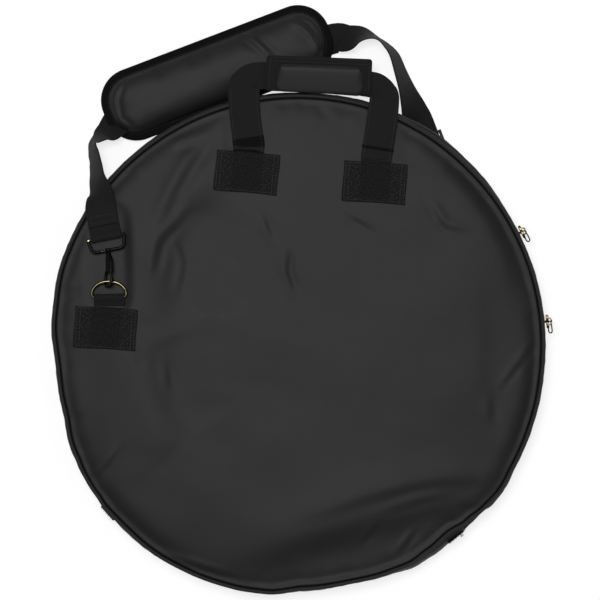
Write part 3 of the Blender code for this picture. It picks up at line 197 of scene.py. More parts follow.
# The raised panel's layers: how far its upper and lower edges have come in, and its rise
GRIP_PANEL_STEPS = (
    (0.0, 0.0, -0.40), (0.0, 0.0, 0.0), (0.10, 0.03, 0.12), (0.25, 0.12, 0.24), (0.45, 0.30, 0.42),
    (0.65, 0.55, 0.66), (0.82, 0.80, 0.88), (0.92, 0.93, 0.97), (1.0, 1.0, 1.0),
)
GRIP_PANEL_SHIFT = 0.0015
GRIP_EDGE_ROUNDING = 0.0006
GRIP_SEAM_END = 0.004
GRIP_BORDER_HALF_WIDTH = 0.0218
GRIP_PANEL_RISE_SHARE = 0.9

# Strap fixings, measured along the strap from the ring's straight bar
FRONT_PATCH_X = RIM_RADIUS * -0.780
FRONT_RING_X = FRONT_PATCH_X + 0.0018
FRONT_RING_BAR_Y = 0.041
FRONT_PATCH_CENTRE = (FRONT_PATCH_X, 0.002)
FRONT_FIXING_ANGLE = 5.5
BACK_RING_X = RIM_RADIUS * 0.7096
BACK_PATCH_Y = 0.002
BACK_FIXING_ANGLE = 7.0
FIXING_HOLLOW_DEPTH = 0.0208
RING_PATCH_SIZE = (0.077, 0.051)
RING_WIRE = 0.00175
RING_HALF_WIDTH = 0.0209
RING_SIDE = 0.0040
RING_DEPTH = 0.01925
RING_LIFT_ANGLE = 12.9
RING_CORNER = 0.0030
LOOP_LENGTH = 0.011
LOOP_THICKNESS = 0.0015
LOOP_WIDTH = 0.038
LOOP_INNER_GAP = 0.00035
HOOK_RISE = 0.0058
HOOK_PITCH = 5.5
HOOK_ROLL = 55.0
CLAW_WIRE = 0.0020
CLAW_HALF_WIDTH = 0.0076
CLAW_END = 0.0134
CLAW_CORNER = 0.0036
CLAW_TIP = 0.0240
BODY_START = 0.0290
BODY_END = 0.0495
BODY_SIZE = (0.0132, 0.0072)
BODY_OFFSET = 0.0026
NECK_END = 0.0540
# Along the hook's axis, with the shares of the body's width and depth
BODY_STATIONS = (
    (BODY_START, 0.84, 0.78), (BODY_START + 0.0006, 0.95, 0.93), (BODY_START + 0.0016, 1.0, 1.0),
    (BODY_END - 0.0060, 1.0, 1.0), (BODY_END - 0.0030, 0.94, 0.97), (BODY_END - 0.0008, 0.78, 0.88),
    (BODY_END + 0.0014, 0.56, 0.80), (NECK_END - 0.0008, 0.46, 0.84), (NECK_END, 0.42, 0.78),
)
STUD_RADIUS = 0.0012
STUD_HEAD_RADIUS = 0.0026
BOSS_RADIUS = 0.0042
BOSS_LENGTH = 0.0040
BOSS_CENTRE = 0.0570
BOSS_HALF_PROFILE = ((0.0020, 0.0030), (0.0016, 0.0038), (0.0008, BOSS_RADIUS))
BOLT_OFFSET = 0.0068
BOLT_TRAVEL = 0.0040
KNOB_POSITION = 0.0330
KNOB_PROFILE = ((0.0, 0.0009), (0.0036, 0.0009), (0.0037, 0.0013), (0.0049, 0.0013), (0.0053, 0.0008))
BOLT_LENGTH = 0.0150
BOLT_RADIUS = 0.0013
BORE_RADIUS = 0.0017
SLOT_WIDTH = 0.0030
SLOT_DEPTH = 0.0070
EYE_WIRE = 0.0020
EYE_NEAR_HALF_WIDTH = 0.0195
EYE_NEAR_CORNER = 0.0060
EYE_FAR_CORNER = 0.0032
EYE_FAR_HALF_WIDTH = 0.0230
EYE_DEPTH = 0.0165
EYE_TURN_FRONT = 10.0
EYE_TURN_BACK = -11.5
FOLD_LOWER_LEG = 0.027
FOLD_UPPER_LEG = 0.014
FOLD_LIFT_ANGLE = 5.0
FOLD_SEAM_RUNS = (0.0190, 0.0270)
FOLD_SEAM_INSET = 0.004
FOLD_SEAM_HALF_WIDTH = 0.015

# Shoulder pad and strap
PAD_LENGTH = 0.292
PAD_WIDTH = 0.089
PAD_ANGLE = 25.4
PAD_ALONG = 0.027
PAD_ACROSS = RIM_RADIUS + 0.003 + PAD_WIDTH / 2
PAD_THICKNESS = 0.0215
PAD_UNDERSIDE = 0.0033
PAD_CORNER = 0.040
PAD_SPREAD = (0.0035, 0.0010)
# The pad's simulation: size of its cells, frames, and the furthest that a point may move
PAD_CELL = 0.0045
PUFF_FRAMES = 20
PUFF_LIMIT = 0.006
# The pad's layers before it is stuffed: inset in binding widths, and share of its height
PAD_LAYERS = (
    (1.1, 0.0), (0.75, 0.06), (0.75, 0.16), (0.92, 0.36), (1.15, 0.62), (1.6, 0.82), (2.3, 0.95), (3.2, 1.0),
)
BINDING_WIDTH = 0.0098
BINDING_THICKNESS = 0.0050
SLEEVE_WIDTH = 0.046
SLEEVE_LENGTH = 0.195
SLEEVE_FLOOR_Z = 0.0007
SLEEVE_THICKNESS = 0.0006
STRAP_PAD_Z = 0.0021
STRAP_PAD_OFFSET = -0.0105
STRAP_EDGE_CLEAR = 0.0008

# The strap's run: angle round the bag, share of the rim's radius, tilt on edge, and share of the
# bag's depth where it is off the floor
STRAP_FRONT_SHARES = (
    (148.8, 0.982, 12, 0.958),
    (146.8, 1.012, 36, 0.915),
    (145.1, 1.053, 54, 0.800),
    (143.4, 1.089, 61, 0.660),
    (142.0, 1.124, 65, 0.520),
    (141.0, 1.153, 70, 0.420),
    (139.9, 1.172, 73, None),
    (137.9, 1.171, 60, None),
    (135.9, 1.163, 34, None),
)
STRAP_RIGHT_SHARES = (
    (85.2, 1.269, 28, None),
    (82.4, 1.292, 60, None),
    (80.0, 1.292, 80, None),
    (77.9, 1.273, 76, None),
    (75.9, 1.243, 69, None),
    (73.9, 1.192, 64, None),
    (71.6, 1.140, 56, None),
    (69.7, 1.100, 43, None),
    (67.6, 1.061, 22, None),
)
STRAP_UNDER_SHARES = (
    (65.4, 1.027, 0, 0.058),
    (59.9, 0.954, 0, 0.058),
    (53.0, 0.888, 0, 0.058),
    (45.2, 0.838, 0, 0.100),
)

# How far the rim stands off its circle, by angle from the right: angle and distance
RIM_WANDER = (
    (0, -0.001), (30, -0.001), (50, -0.0005), (65, 0.001), (80, 0.003), (110, 0.003), (140, 0.003),
    (165, 0.002), (178, -0.002), (190, -0.0075), (200, -0.006), (210, 0.001), (220, 0.0065), (230, 0.0055),
    (240, 0.007), (250, 0.006), (260, 0.005), (267, 0.0035), (276, -0.0035), (286, -0.0045), (296, -0.002),
    (302, -0.0005), (307, -0.0035), (313, -0.0065), (319, -0.003), (323, 0.0015), (329, 0.0035), (336, 0.001),
    (348, 0.000), (360, -0.001),
)
# How far the side cloth swells beyond its seams, by angle
SIDE_SWELL = (
    (0, 0.000), (36, 0.000), (48, 0.003), (60, 0.005), (75, 0.003), (90, 0.0015), (130, 0.001), (160, 0.000),
    (222, 0.000), (232, 0.001), (242, 0.000), (268, 0.000), (276, 0.001), (288, 0.000), (297, 0.001),
    (303, 0.004), (308, 0.0065), (316, 0.008), (323, 0.003), (330, 0.001), (340, 0.000), (360, 0.000),
)

# How deep the cloth dips beside the piping
GROOVE_PULL = (
    (0, 0.0034), (40, 0.0032), (75, 0.0020), (110, 0.0018), (135, 0.0034), (160, 0.0032), (185, 0.0022),
    (215, 0.0028), (240, 0.0018), (290, 0.0018), (320, 0.0034), (340, 0.0036), (360, 0.0034),
)

# Share of the side cloth's swell that the zip follows
ZIP_SWELL_SHARE = 0.7
# The side cloth's thickness, its coarse and fine puckers, and how far its middle wavers up and down
SIDE_THICKNESS = 0.0016
SIDE_PUCKER = 0.0003
SIDE_FINE_PUCKER = 0.00012
SIDE_WAVER = 0.0005
# The seam's radius and height of both side cloths, the zip cloth's bulge, and its gap to the chain
SIDE_SEAM_RADIUS = RIM_RADIUS + 0.0013
SIDE_SEAM_Z = PIPING_Z + PIPING_RADIUS * 0.9
SIDE_ZIP_BULGE = 0.0016
SIDE_ZIP_GAP = 0.0022

# The front cloth's slackness: seed, length of its waves and height
FRONT_SLACK = ((4, 0.15, 0.0009), (8, 0.06, 0.00022))
# Puckers just inside the piping
PUCKER_RADIUS = PANEL_RADIUS * 0.975
FRONT_PUCKER = 0.0007
BACK_PUCKER = 0.0006
# The back cloth: how far inside its own rim it is measured, its slackness, and where it is off the floor
INSIDE_RIM = 0.999
BACK_SLACK = (21, 0.12, 0.0006)
BACK_RAISED = 0.001
BACK_RAISED_FADE = 0.004
BACK_LOWEST = 0.0004
# The groove beside the piping, and the low roll inside it
GROOVE_WIDTH = 0.0095
ROLL_INSET = 0.020
ROLL_WIDTH = 0.008
ROLL_HEIGHT = 0.0002
# How far in from the piping the relief is weakened, and the share of it that is left there
EDGE_REACH = 0.010
EDGE_SHARE = 0.25
# How far the cloth lies down under the webbing and the hook, and how near them it starts to
COVERED_DROP = 0.0006
HANDLE_CLEAR = 0.012
HOOK_CLEAR = 0.018
HOOK_CLEAR_FADE = 0.014

# Kinds of crease: a rounded groove, a fold with one side up and the other down, and a step that levels out
# far from its path
GROOVE, FOLD, STEP = "groove", "fold", "step"
# A step's reach in widths, how softly a path turns its corners, and how a crease fades at its ends
STEP_REACH = 4.0
CREASE_CORNER_BLEND = 0.008
CREASE_END = 0.04
CREASE_FADE_POWER = 0.6
FOLD_GAIN = 1.4
# Creases of the front cloth: path, half width, depth and kind
FRONT_CREASES = (
    (((-0.100, 0.192), (-0.146, 0.153), (-0.168, 0.110), (-0.168, 0.062), (-0.158, 0.010)),
     0.019, 0.0062, STEP),
    (((-0.150, 0.150), (-0.178, 0.112), (-0.184, 0.070)), 0.007, 0.0026, FOLD),
    (((-0.158, 0.118), (-0.146, 0.090), (-0.150, 0.050)), 0.006, 0.0016, FOLD),
    (((-0.123, 0.247), (-0.145, 0.214), (-0.163, 0.177), (-0.181, 0.129)), 0.010, 0.0030, FOLD),
    (((-0.130, 0.243), (-0.171, 0.226)), 0.008, 0.0018, FOLD),
    (((-0.188, -0.010), (-0.176, -0.050), (-0.154, -0.092), (-0.120, -0.130)), 0.017, 0.0044, STEP),
    (((-0.160, -0.030), (-0.150, -0.070)), 0.007, 0.0016, FOLD),
    (((-0.185, -0.045), (-0.198, -0.018)), 0.006, 0.0014, GROOVE),
    (((-0.267, 0.048), (-0.294, 0.035)), 0.005, 0.0016, GROOVE),
    (((-0.206, -0.142), (-0.220, -0.165), (-0.235, -0.180)), 0.005, 0.0030, FOLD),
    (((-0.110, -0.262), (-0.158, -0.243), (-0.196, -0.213), (-0.226, -0.172)), 0.012, 0.0036, STEP),
    (((-0.056, -0.286), (-0.110, -0.273), (-0.150, -0.265)), 0.006, 0.0026, FOLD),
    (((0.260, -0.146), (0.207, -0.152), (0.151, -0.165), (0.096, -0.184), (0.040, -0.208)),
     0.007, 0.0022, STEP),
    (((0.250, -0.178), (0.182, -0.193), (0.127, -0.210), (0.071, -0.232), (0.009, -0.255), (-0.053, -0.276)),
     0.016, 0.0060, STEP),
    (((0.200, -0.170), (0.120, -0.196)), 0.008, 0.0014, FOLD),
    (((0.163, -0.218), (0.144, -0.246)), 0.005, 0.0024, FOLD),
    (((0.112, -0.212), (0.100, -0.238)), 0.005, 0.0024, FOLD),
    (((0.232, -0.160), (0.246, -0.176)), 0.004, 0.0018, FOLD),
    (((0.293, 0.028), (0.273, -0.002), (0.254, -0.030)), 0.005, 0.0020, FOLD),
    (((0.221, 0.092), (0.230, 0.016), (0.232, -0.090)), 0.012, 0.0012, STEP),
    (((0.240, -0.045), (0.245, -0.075)), 0.008, 0.0018, FOLD),
    (((0.150, 0.246), (0.190, 0.214), (0.224, 0.176), (0.248, 0.136), (0.270, 0.070)), 0.011, 0.0036, STEP),
    (((0.286, 0.030), (0.286, -0.036), (0.277, -0.084), (0.258, -0.130)), 0.009, 0.0030, STEP),
    (((-0.058, 0.286), (-0.052, 0.272)), 0.005, 0.0014, GROOVE),
    (((0.007, 0.290), (0.013, 0.276)), 0.005, 0.0014, GROOVE),
    (((-0.055, 0.157), (-0.041, 0.128)), 0.006, 0.0016, FOLD),
    (((0.084, 0.147), (0.047, 0.165)), 0.006, 0.0016, FOLD),
    (((0.197, 0.155), (0.168, 0.160), (0.148, 0.187)), 0.006, 0.0018, FOLD),
    (((-0.020, 0.114), (-0.020, 0.089), (-0.009, 0.065)), 0.006, 0.0018, FOLD),
)
# Creases of the shoulder pad: path along and across it from its middle, half width, depth, kind
PAD_CREASES = (
    (((0.050, 0.040), (0.062, 0.016), (0.074, -0.009)), 0.006, 0.0030, FOLD),
    (((0.038, 0.034), (0.052, 0.016), (0.064, -0.002)), 0.005, 0.0018, GROOVE),
    (((0.110, 0.030), (0.124, 0.011), (0.130, -0.008), (0.130, -0.022)), 0.0050, 0.0032, FOLD),
    (((0.000, 0.036), (-0.006, 0.022)), 0.005, 0.0018, GROOVE),
    (((-0.020, 0.034), (-0.026, 0.020)), 0.005, 0.0014, GROOVE),
    (((-0.062, 0.034), (-0.070, 0.020)), 0.005, 0.0014, GROOVE),
    (((-0.110, 0.030), (-0.126, 0.010), (-0.130, -0.010), (-0.120, -0.028)), 0.0035, 0.0020, GROOVE),
)

# Stage: floor, world, lamps by name, place, size and power, and the camera over the bag
FLOOR_SIZE = 60.0
FLOOR_Z = -0.0006
WORLD_STRENGTH = 0.30
LAMPS = (
    ("key_light", (-0.50, 0.70, 4.00), 1.3, 94.0),
    ("fill_light", (2.60, -1.20, 3.20), 2.0, 10.0),
)
CAMERA_DISTANCE = 3.5
CAMERA_OVER = (-0.0013, 0.0552)
CAMERA_TURN = 4.5
SEEN_WIDTH = 0.735
SENSOR_WIDTH = 36.0
CLIP_END = 50.0

UP = Vector((0, 0, 1))


def bag_sizes():
    """The sizes from the sidebar."""
    return bpy.context.scene.cymbal_bag_sizes


def bag_colours():
    """The colours from the sidebar."""
    return bpy.context.scene.cymbal_bag_colours


# Plain geometry


def rotation(degrees, axis):
    """A turn about an axis through the origin."""
    return Matrix.Rotation(math.radians(degrees), 4, axis)


def smooth_step(t):
    """0 below 0, 1 above 1, with no corner between; takes a number or an array."""
    t = np.clip(t, 0.0, 1.0)
    return t * t * (3 - 2 * t)


def bell(distance, width):
    """1 at no distance, fading to nothing over a few widths."""
    return np.exp(-((distance / width) ** 2))


def crown(radius):
    """How far a panel's face has turned in towards the middle of the bag at this radius."""
    t = np.maximum(radius - CROWN_FLAT_RADIUS, 0.0) / (PANEL_RADIUS - CROWN_FLAT_RADIUS)
    return CROWN_RISE * t**CROWN_POWER


def front_height(x, y):
    """Height of the front panel's outer face before its creases."""
    return BAG_DEPTH - crown(np.hypot(x, y))


def round_the_rim(table, degrees):
    """A value from a table by angle, eased between its entries."""
    angles = [row[0] for row in table]
    values = [row[1] for row in table]
    degrees = np.mod(degrees, 360.0)
    place = np.clip(np.searchsorted(angles, degrees, side="right") - 1, 0, len(angles) - 2)
    low = np.take(angles, place)
    high = np.take(angles, place + 1)
    share = smooth_step((degrees - low) / (high - low))
    return np.take(values, place) * (1 - share) + np.take(values, place + 1) * share


def crease_depth(x, y, creases):
    """How far below a smooth surface the creases press each point."""
    total = np.zeros_like(x)
    for path, width, depth, kind in creases:
        nearest = np.full_like(x, 1e9)
        side = np.zeros_like(x)
        ends = np.zeros_like(x)
        weights = np.zeros_like(x)
        runs = list(zip(path, path[1:]))
        for number, (start, end) in enumerate(runs):
            dx, dy = end[0] - start[0], end[1] - start[1]
            length = math.hypot(dx, dy)
            along = ((x - start[0]) * dx + (y - start[1]) * dy) / length**2
            inside = np.clip(along, 0, 1)
            away = np.hypot(x - start[0] - inside * dx, y - start[1] - inside * dy)
            cross = (dx * (y - start[1]) - dy * (x - start[0])) / length
            nearest = np.minimum(nearest, away)
            weight = np.exp(-away / CREASE_CORNER_BLEND)
            weights += weight
            side += weight * cross
            ends += weight * (number + inside) / len(runs)
        side /= weights
        ends /= weights
        fade = np.sin(np.pi * np.clip(ends, CREASE_END, 1 - CREASE_END)) ** CREASE_FADE_POWER
        if kind == GROOVE:
            total += depth * bell(nearest, width) * fade
        elif kind == STEP:
            total += depth * bell(nearest, width * STEP_REACH) * fade * np.tanh(side / width)
        else:
            total += depth * bell(nearest, width) * fade * np.clip(side / width, -1.5, 1.5) * FOLD_GAIN
    return total


def ripple(x, y, seed, scale):
    """Soft unevenness between about -1 and 1, as slack cloth has, from a few crossed waves."""
    draw = random.Random(seed)
    total = np.zeros_like(x)
    for _ in range(9):
        turn = draw.uniform(0, math.tau)
        wave = math.tau / (scale * draw.uniform(0.6, 1.8))
        total += np.sin(wave * (x * math.cos(turn) + y * math.sin(turn)) + draw.uniform(0, math.tau))
    return total / 5


def kept_flat(x, y):
    """1 where the front cloth is free to rise, 0 under the webbing and the hook that lie close over it."""
    free = np.ones_like(x)
    for side in (-1, 1):
        over = np.maximum(np.abs(x - side * (PATCH_CENTRE[0] + HANDLE_LEAN / 2)) - WEBBING_WIDTH * 0.55, 0)
        away = np.hypot(over, np.maximum(HANDLE_HINGE_Y - y, 0))
        free *= smooth_step(away / HANDLE_CLEAR)
    start = FRONT_PLACE.translation
    end = FRONT_PLACE @ Vector((BOSS_CENTRE * 1.6, 0, 0))
    run = end - start
    along = np.clip(((x - start.x) * run.x + (y - start.y) * run.y) / run.length_squared, 0, 1)
    away = np.hypot(x - start.x - along * run.x, y - start.y - along * run.y)
    return free * smooth_step((away - HOOK_CLEAR) / HOOK_CLEAR_FADE)


def front_relief(x, y):
    """The front cloth's height off its smooth face: creases, slackness and puckers at the piping."""
    radius = np.hypot(x, y)
    angle = np.arctan2(y, x)
    strength = bag_sizes().crease_strength
    lift = -crease_depth(x, y, FRONT_CREASES)
    for seed, scale, height in FRONT_SLACK:
        lift = lift + ripple(x, y, seed, scale) * height
    pucker = np.sin(angle * 61 + 3 * np.sin(angle * 7)) * np.sin(angle * 17 + 1.3)
    lift = lift + pucker * bell(radius - PUCKER_RADIUS, 0.011) * FRONT_PUCKER
    pulled = round_the_rim(GROOVE_PULL, np.degrees(angle))
    lift = lift * strength - bell(radius - PANEL_RADIUS, GROOVE_WIDTH) * pulled
    roll = bell(radius - PANEL_RADIUS + ROLL_INSET, ROLL_WIDTH) * ROLL_HEIGHT
    edge = 1 - smooth_step((radius - PANEL_RADIUS) / EDGE_REACH + 1)
    lift = lift * (EDGE_SHARE + (1 - EDGE_SHARE) * edge) + roll
    free = kept_flat(x, y)
    return lift * free - COVERED_DROP * (1 - free)


def fixing_place(bar_x, bar_y, angle, out):
    """Frame of a strap fixing: X along the strap from the ring's bar, Y across it, Z away from the panel."""
    bar_height = SEAT_GAP + LOOP_THICKNESS + LOOP_INNER_GAP + RING_WIRE
    along = math.radians(90 + angle)
    x_axis = Vector((math.cos(along), math.sin(along), 0))
    z_axis = Vector((0, 0, out))
    bar_z = FIXING_HOLLOW_DEPTH - bar_height
    if out > 0:
        bar_z = float(front_height(bar_x, bar_y)) + bar_height
        radius = math.hypot(bar_x, bar_y)
        step = 0.0003
        slope = float(crown(radius + step) - crown(radius - step)) / (2 * step)
        z_axis = (z_axis + Vector((bar_x, bar_y, 0)).normalized() * slope).normalized()
        x_axis = (x_axis - z_axis * x_axis.dot(z_axis)).normalized()
    return placed(x_axis, z_axis.cross(x_axis), z_axis, Vector((bar_x, bar_y, bar_z)))


def placed(x_axis, y_axis, z_axis, origin):
    """A placing matrix from its three axes and its origin."""
    place = Matrix((x_axis, y_axis, z_axis)).transposed().to_4x4()
    place.translation = origin
    return place


def hook_line(place):
    """The hook's own frame: X along its swivel axis, Y across it, raised and pitched off the panel."""
    lifted = place @ Matrix.Translation((RING_DEPTH, 0, HOOK_RISE))
    pitched = lifted @ rotation(HOOK_PITCH, "Y")
    return pitched @ Matrix.Translation((-RING_DEPTH, 0, 0))


def eye_line(place, turn):
    """The swivel eye's frame, turned about the middle of its boss."""
    boss = Matrix.Translation((BOSS_CENTRE, 0, 0))
    return hook_line(place) @ boss @ rotation(turn, "Z")


def strap_fold_line(place, turn):
    """Frame of the strap's sewn end round the eye's far bar, its legs running along -X."""
    settle = rotation(-FOLD_LIFT_ANGLE, "Y")
    back = Matrix.Rotation(math.pi, 4, "Z")
    return eye_line(place, turn) @ Matrix.Translation((EYE_DEPTH, 0, 0)) @ settle @ back


def pad_point(along, across, height):
    """A place given along the pad's run and out from the bag's axis."""
    angle = math.radians(PAD_ANGLE)
    x = along * math.cos(angle) - across * math.sin(angle)
    y = along * math.sin(angle) + across * math.cos(angle)
    return Vector((x, y, height))


def route_station(angle, radius_share, tilt, height_share):
    """A station of the strap, resting its lower edge on the floor where no height is given."""
    turn = math.radians(angle)
    radius = RIM_RADIUS * radius_share
    if height_share is None:
        height = WEBBING_WIDTH / 2 * math.sin(math.radians(tilt)) + WEBBING_THICKNESS / 2 + STRAP_EDGE_CLEAR
    else:
        height = BAG_DEPTH * height_share
    return (radius * math.cos(turn), radius * math.sin(turn), height, tilt)


def strap_start(fold_place):
    """Stations where the strap lies on its sewn end, from the upper leg to just past the lower one."""
    radius = EYE_WIRE + LOOP_INNER_GAP + WEBBING_THICKNESS / 2
    height = -radius + WEBBING_THICKNESS + SEAT_GAP * 1.5
    start = FOLD_UPPER_LEG + SEAT_GAP * 2
    end = FOLD_LOWER_LEG + WEBBING_THICKNESS * 2
    runs = (start, (start + end) / 2, end, end + WEBBING_THICKNESS * 3)
    tilt = math.degrees(math.asin((fold_place.to_3x3() @ Vector((0, 1, 0))).z))
    return [(*(fold_place @ Vector((-run, 0, height))), tilt) for run in runs]


def smooth_route(stations, between):
    """Points of a Catmull-Rom curve through stations of any number of values."""
    out = []
    count = len(stations)
    for n in range(count - 1):
        p = [np.array(stations[min(max(n + k, 0), count - 1)], float) for k in (-1, 0, 1, 2)]
        for step in range(between):
            t = step / between
            line = 2 * p[1] + (p[2] - p[0]) * t + (2 * p[0] - 5 * p[1] + 4 * p[2] - p[3]) * t * t
            out.append((line + (3 * p[1] - p[0] - 3 * p[2] + p[3]) * t**3) / 2)
    out.append(np.array(stations[-1], float))
    return out


def ribbon_frames(stations, between):
    """Frames along webbing: X across it, Y along its run, Z out of its face."""
    route = smooth_route(stations, between)
    centres = [Vector(station[:3]) for station in route]
    frames = []
    for n, centre in enumerate(centres):
        ahead = centres[min(n + 1, len(centres) - 1)]
        behind = centres[max(n - 1, 0)]
        run = (ahead - behind).normalized()
        across = run.cross(UP).normalized()
        across = Matrix.Rotation(math.radians(-route[n][3]), 3, run) @ across
        frames.append(placed(across, run, across.cross(run).normalized(), centre))
    return frames


def wire_frames(points, up, closed=False):
    """Frames along a wire's middle line: Y along it, Z as near up as it can be."""
    frames = []
    count = len(points)
    for n in range(count + (1 if closed else 0)):
        here = points[n % count]
        ahead = points[(n + 1) % count] if closed else points[min(n + 1, count - 1)]
        behind = points[(n - 1) % count] if closed else points[max(n - 1, 0)]
        run = (ahead - behind).normalized()
        side = run.cross(up).normalized()
        frames.append(placed(side, run, side.cross(run), here))
    return frames


def rounded_loop(points, roundings, steps):
    """A closed corner path with each corner replaced by an arc-like curve of its own size."""
    out = []
    count = len(points)
    for n, rounding in enumerate(roundings):
        here = points[n]
        behind = points[(n - 1) % count]
        ahead = points[(n + 1) % count]
        cut = min(rounding, (behind - here).length / 2, (ahead - here).length / 2)
        first = here + (behind - here).normalized() * cut
        last = here + (ahead - here).normalized() * cut
        for k in range(steps + 1):
            t = k / steps
            out.append(first * (1 - t) ** 2 + here * 2 * t * (1 - t) + last * t * t)
    return out


def rounded_outline(half_x, half_y, corner, steps):
    """Corner points of a rounded rectangle, anticlockwise."""
    corner = min(corner, half_x, half_y)
    points = []
    for turn, (sx, sy) in enumerate(((1, 1), (-1, 1), (-1, -1), (1, -1))):
        for n in range(steps + 1):
            angle = math.radians(90 * turn + 90 * n / steps)
            x = sx * (half_x - corner) + corner * math.cos(angle)
            y = sy * (half_y - corner) + corner * math.sin(angle)
            points.append(Vector((x, y, 0)))
    return points


# Meshes


def shape_array(mesh):
    """A mesh's points as an array."""
    points = np.empty(len(mesh.vertices) * 3)
    mesh.vertices.foreach_get("co", points)
    return points.reshape(-1, 3)


def set_shape(mesh, points):
    """Put an array of points back into a mesh."""
    mesh.vertices.foreach_set("co", points.astype(np.float32).ravel())
    mesh.update()


def new_object(name, bm, smooth=True):
    """A mesh object at the origin from a bmesh, which is freed."""
    mesh = bpy.data.meshes.new(name)
    bm.to_mesh(mesh)
    bm.free()
    if smooth:
        mesh.polygons.foreach_set("use_smooth", [True] * len(mesh.polygons))
    obj = bpy.data.objects.new(name, mesh)
    bpy.context.scene.collection.objects.link(obj)
    return obj


def finished(obj, look_name, body=None, replaces=()):
    """Give a finished piece its material, body and the nodes that it stands for."""
    obj.data.materials.clear()
    obj.data.materials.append(look(look_name))
    if body is not None:
        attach(obj, body)
    if replaces:
        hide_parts(*replaces)
    return obj


def with_modifiers_applied(obj):
    """Turn an object's live modifiers into mesh."""
    bpy.context.view_layer.update()
    evaluated = obj.evaluated_get(bpy.context.evaluated_depsgraph_get())
    mesh = bpy.data.meshes.new_from_object(evaluated)
    obj.modifiers.clear()
    obj.data = mesh
    return obj


def wall(obj, thickness, offset=-1.0):
    """Give an open surface its thickness, inwards unless told otherwise."""
    solid = obj.modifiers.new("wall", "SOLIDIFY")
    solid.thickness = thickness
    solid.offset = offset
    solid.use_even_offset = False
    return with_modifiers_applied(obj)


def lay_cloth_map(obj, measure):
    """Write a UV map in metres: measure takes an array of points and gives across and along."""
    mesh = obj.data
    points = shape_array(mesh)
    across, along = measure(points)
    corners = np.empty(len(mesh.loops), np.int32)
    mesh.loops.foreach_get("vertex_index", corners)
    layer = mesh.uv_layers.get("cloth") or mesh.uv_layers.new(name="cloth")
    values = np.stack((across[corners], along[corners]), axis=1)
    layer.data.foreach_set("uv", values.astype(np.float32).ravel())
    return obj


def lay_plan_map(obj):
    """A cloth map straight from above, for level pieces."""
    return lay_cloth_map(obj, lambda p: (p[:, 0].copy(), p[:, 1].copy()))


def lay_rim_map(obj):
    """A cloth map round the rim and up it, with no jump where the angle starts again."""

    def measure(points):
        angles = np.unwrap(np.arctan2(points[:, 1], points[:, 0]))
        return angles * RIM_RADIUS, points[:, 2].copy()

    return lay_cloth_map(obj, measure)


def sweep(name, section, frames, closed_section=True, closed_path=False, scales=None):
    """Extrude a section of x and z through frames, with a UV map in metres across and along it."""
    bm = bmesh.new()
    across_layer = bm.verts.layers.float.new("across")
    along_layer = bm.verts.layers.float.new("along")
    outline = list(section) + ([section[0]] if closed_section else [])
    scales = scales or [1.0] * len(frames)
    first = frames[0] @ Matrix.Scale(scales[0], 4)
    chain = []
    distance = 0.0
    for n, (x, z) in enumerate(outline):
        if n:
            distance += math.hypot(x - outline[n - 1][0], z - outline[n - 1][1])
        vert = bm.verts.new(first @ Vector((x, 0, z)))
        vert[across_layer] = distance
        chain.append(vert)
    edges = [bm.edges.new(pair) for pair in zip(chain, chain[1:])]
    run = 0.0
    for n in range(1, len(frames)):
        before = frames[n - 1] @ Matrix.Scale(scales[n - 1], 4)
        after = frames[n] @ Matrix.Scale(scales[n], 4)
        run += (frames[n].translation - frames[n - 1].translation).length
        swept = bmesh.ops.extrude_edge_only(bm, edges=edges)["geom"]
        moved = [item for item in swept if isinstance(item, bmesh.types.BMVert)]
        bmesh.ops.transform(bm, matrix=after @ before.inverted(), verts=moved)
        for vert in moved:
            vert[along_layer] = run
        edges = [item for item in swept if isinstance(item, bmesh.types.BMEdge)]
        fresh = set(moved)
        edges = [edge for edge in edges if edge.verts[0] in fresh and edge.verts[1] in fresh]
    cloth_map = bm.loops.layers.uv.new("cloth")
    for face in bm.faces:
        for loop in face.loops:
            loop[cloth_map].uv = (loop.vert[across_layer], loop.vert[along_layer])
    bmesh.ops.remove_doubles(bm, verts=bm.verts, dist=0.000004)
    if closed_section and not closed_path:
        open_edges = [edge for edge in bm.edges if edge.is_boundary]
        bmesh.ops.holes_fill(bm, edges=open_edges, sides=0)
    bmesh.ops.recalc_face_normals(bm, faces=bm.faces)
    return new_object(name, bm)


def round_section(radius, sides):
    """A wire's round section."""
    turns = [math.tau * n / sides for n in range(sides)]
    return [(radius * math.cos(turn), radius * math.sin(turn)) for turn in turns]


def wire_ring(name, points, up, radius, sides):
    """A closed ring of round wire."""
    return sweep(name, round_section(radius, sides), wire_frames(points, up, True), closed_path=True)


def webbing_section(width=WEBBING_WIDTH, thickness=WEBBING_THICKNESS, cells=8):
    """Webbing's section: a flat band with rounded selvedges a little thinner than its middle."""
    half, up = width / 2, thickness / 2
    edge = up * 1.2
    top = [(-half + edge + (width - 2 * edge) * n / cells, up) for n in range(cells + 1)]
    right = [(half - edge * 0.3, up * 0.72), (half, 0.0), (half - edge * 0.3, -up * 0.72)]
    bottom = [(x, -z) for x, z in top[::-1]]
    left = [(-x, -z) for x, z in right]
    return top + right + bottom + left


def joined(name, objects):
    """Several objects' meshes as one object."""
    bm = bmesh.new()
    for obj in objects:
        bm.from_mesh(obj.data)
    for obj in objects:
        bpy.data.objects.remove(obj)
    return new_object(name, bm)


def united(obj, *others, operation="UNION"):
    """Join or cut closed shapes, leaving one closed skin."""
    for other in others:
        change = obj.modifiers.new(operation.lower(), "BOOLEAN")
        change.operation = operation
        change.object = other
        change.solver = "EXACT"
    with_modifiers_applied(obj)
    for other in others:
        bpy.data.objects.remove(other)
    return obj


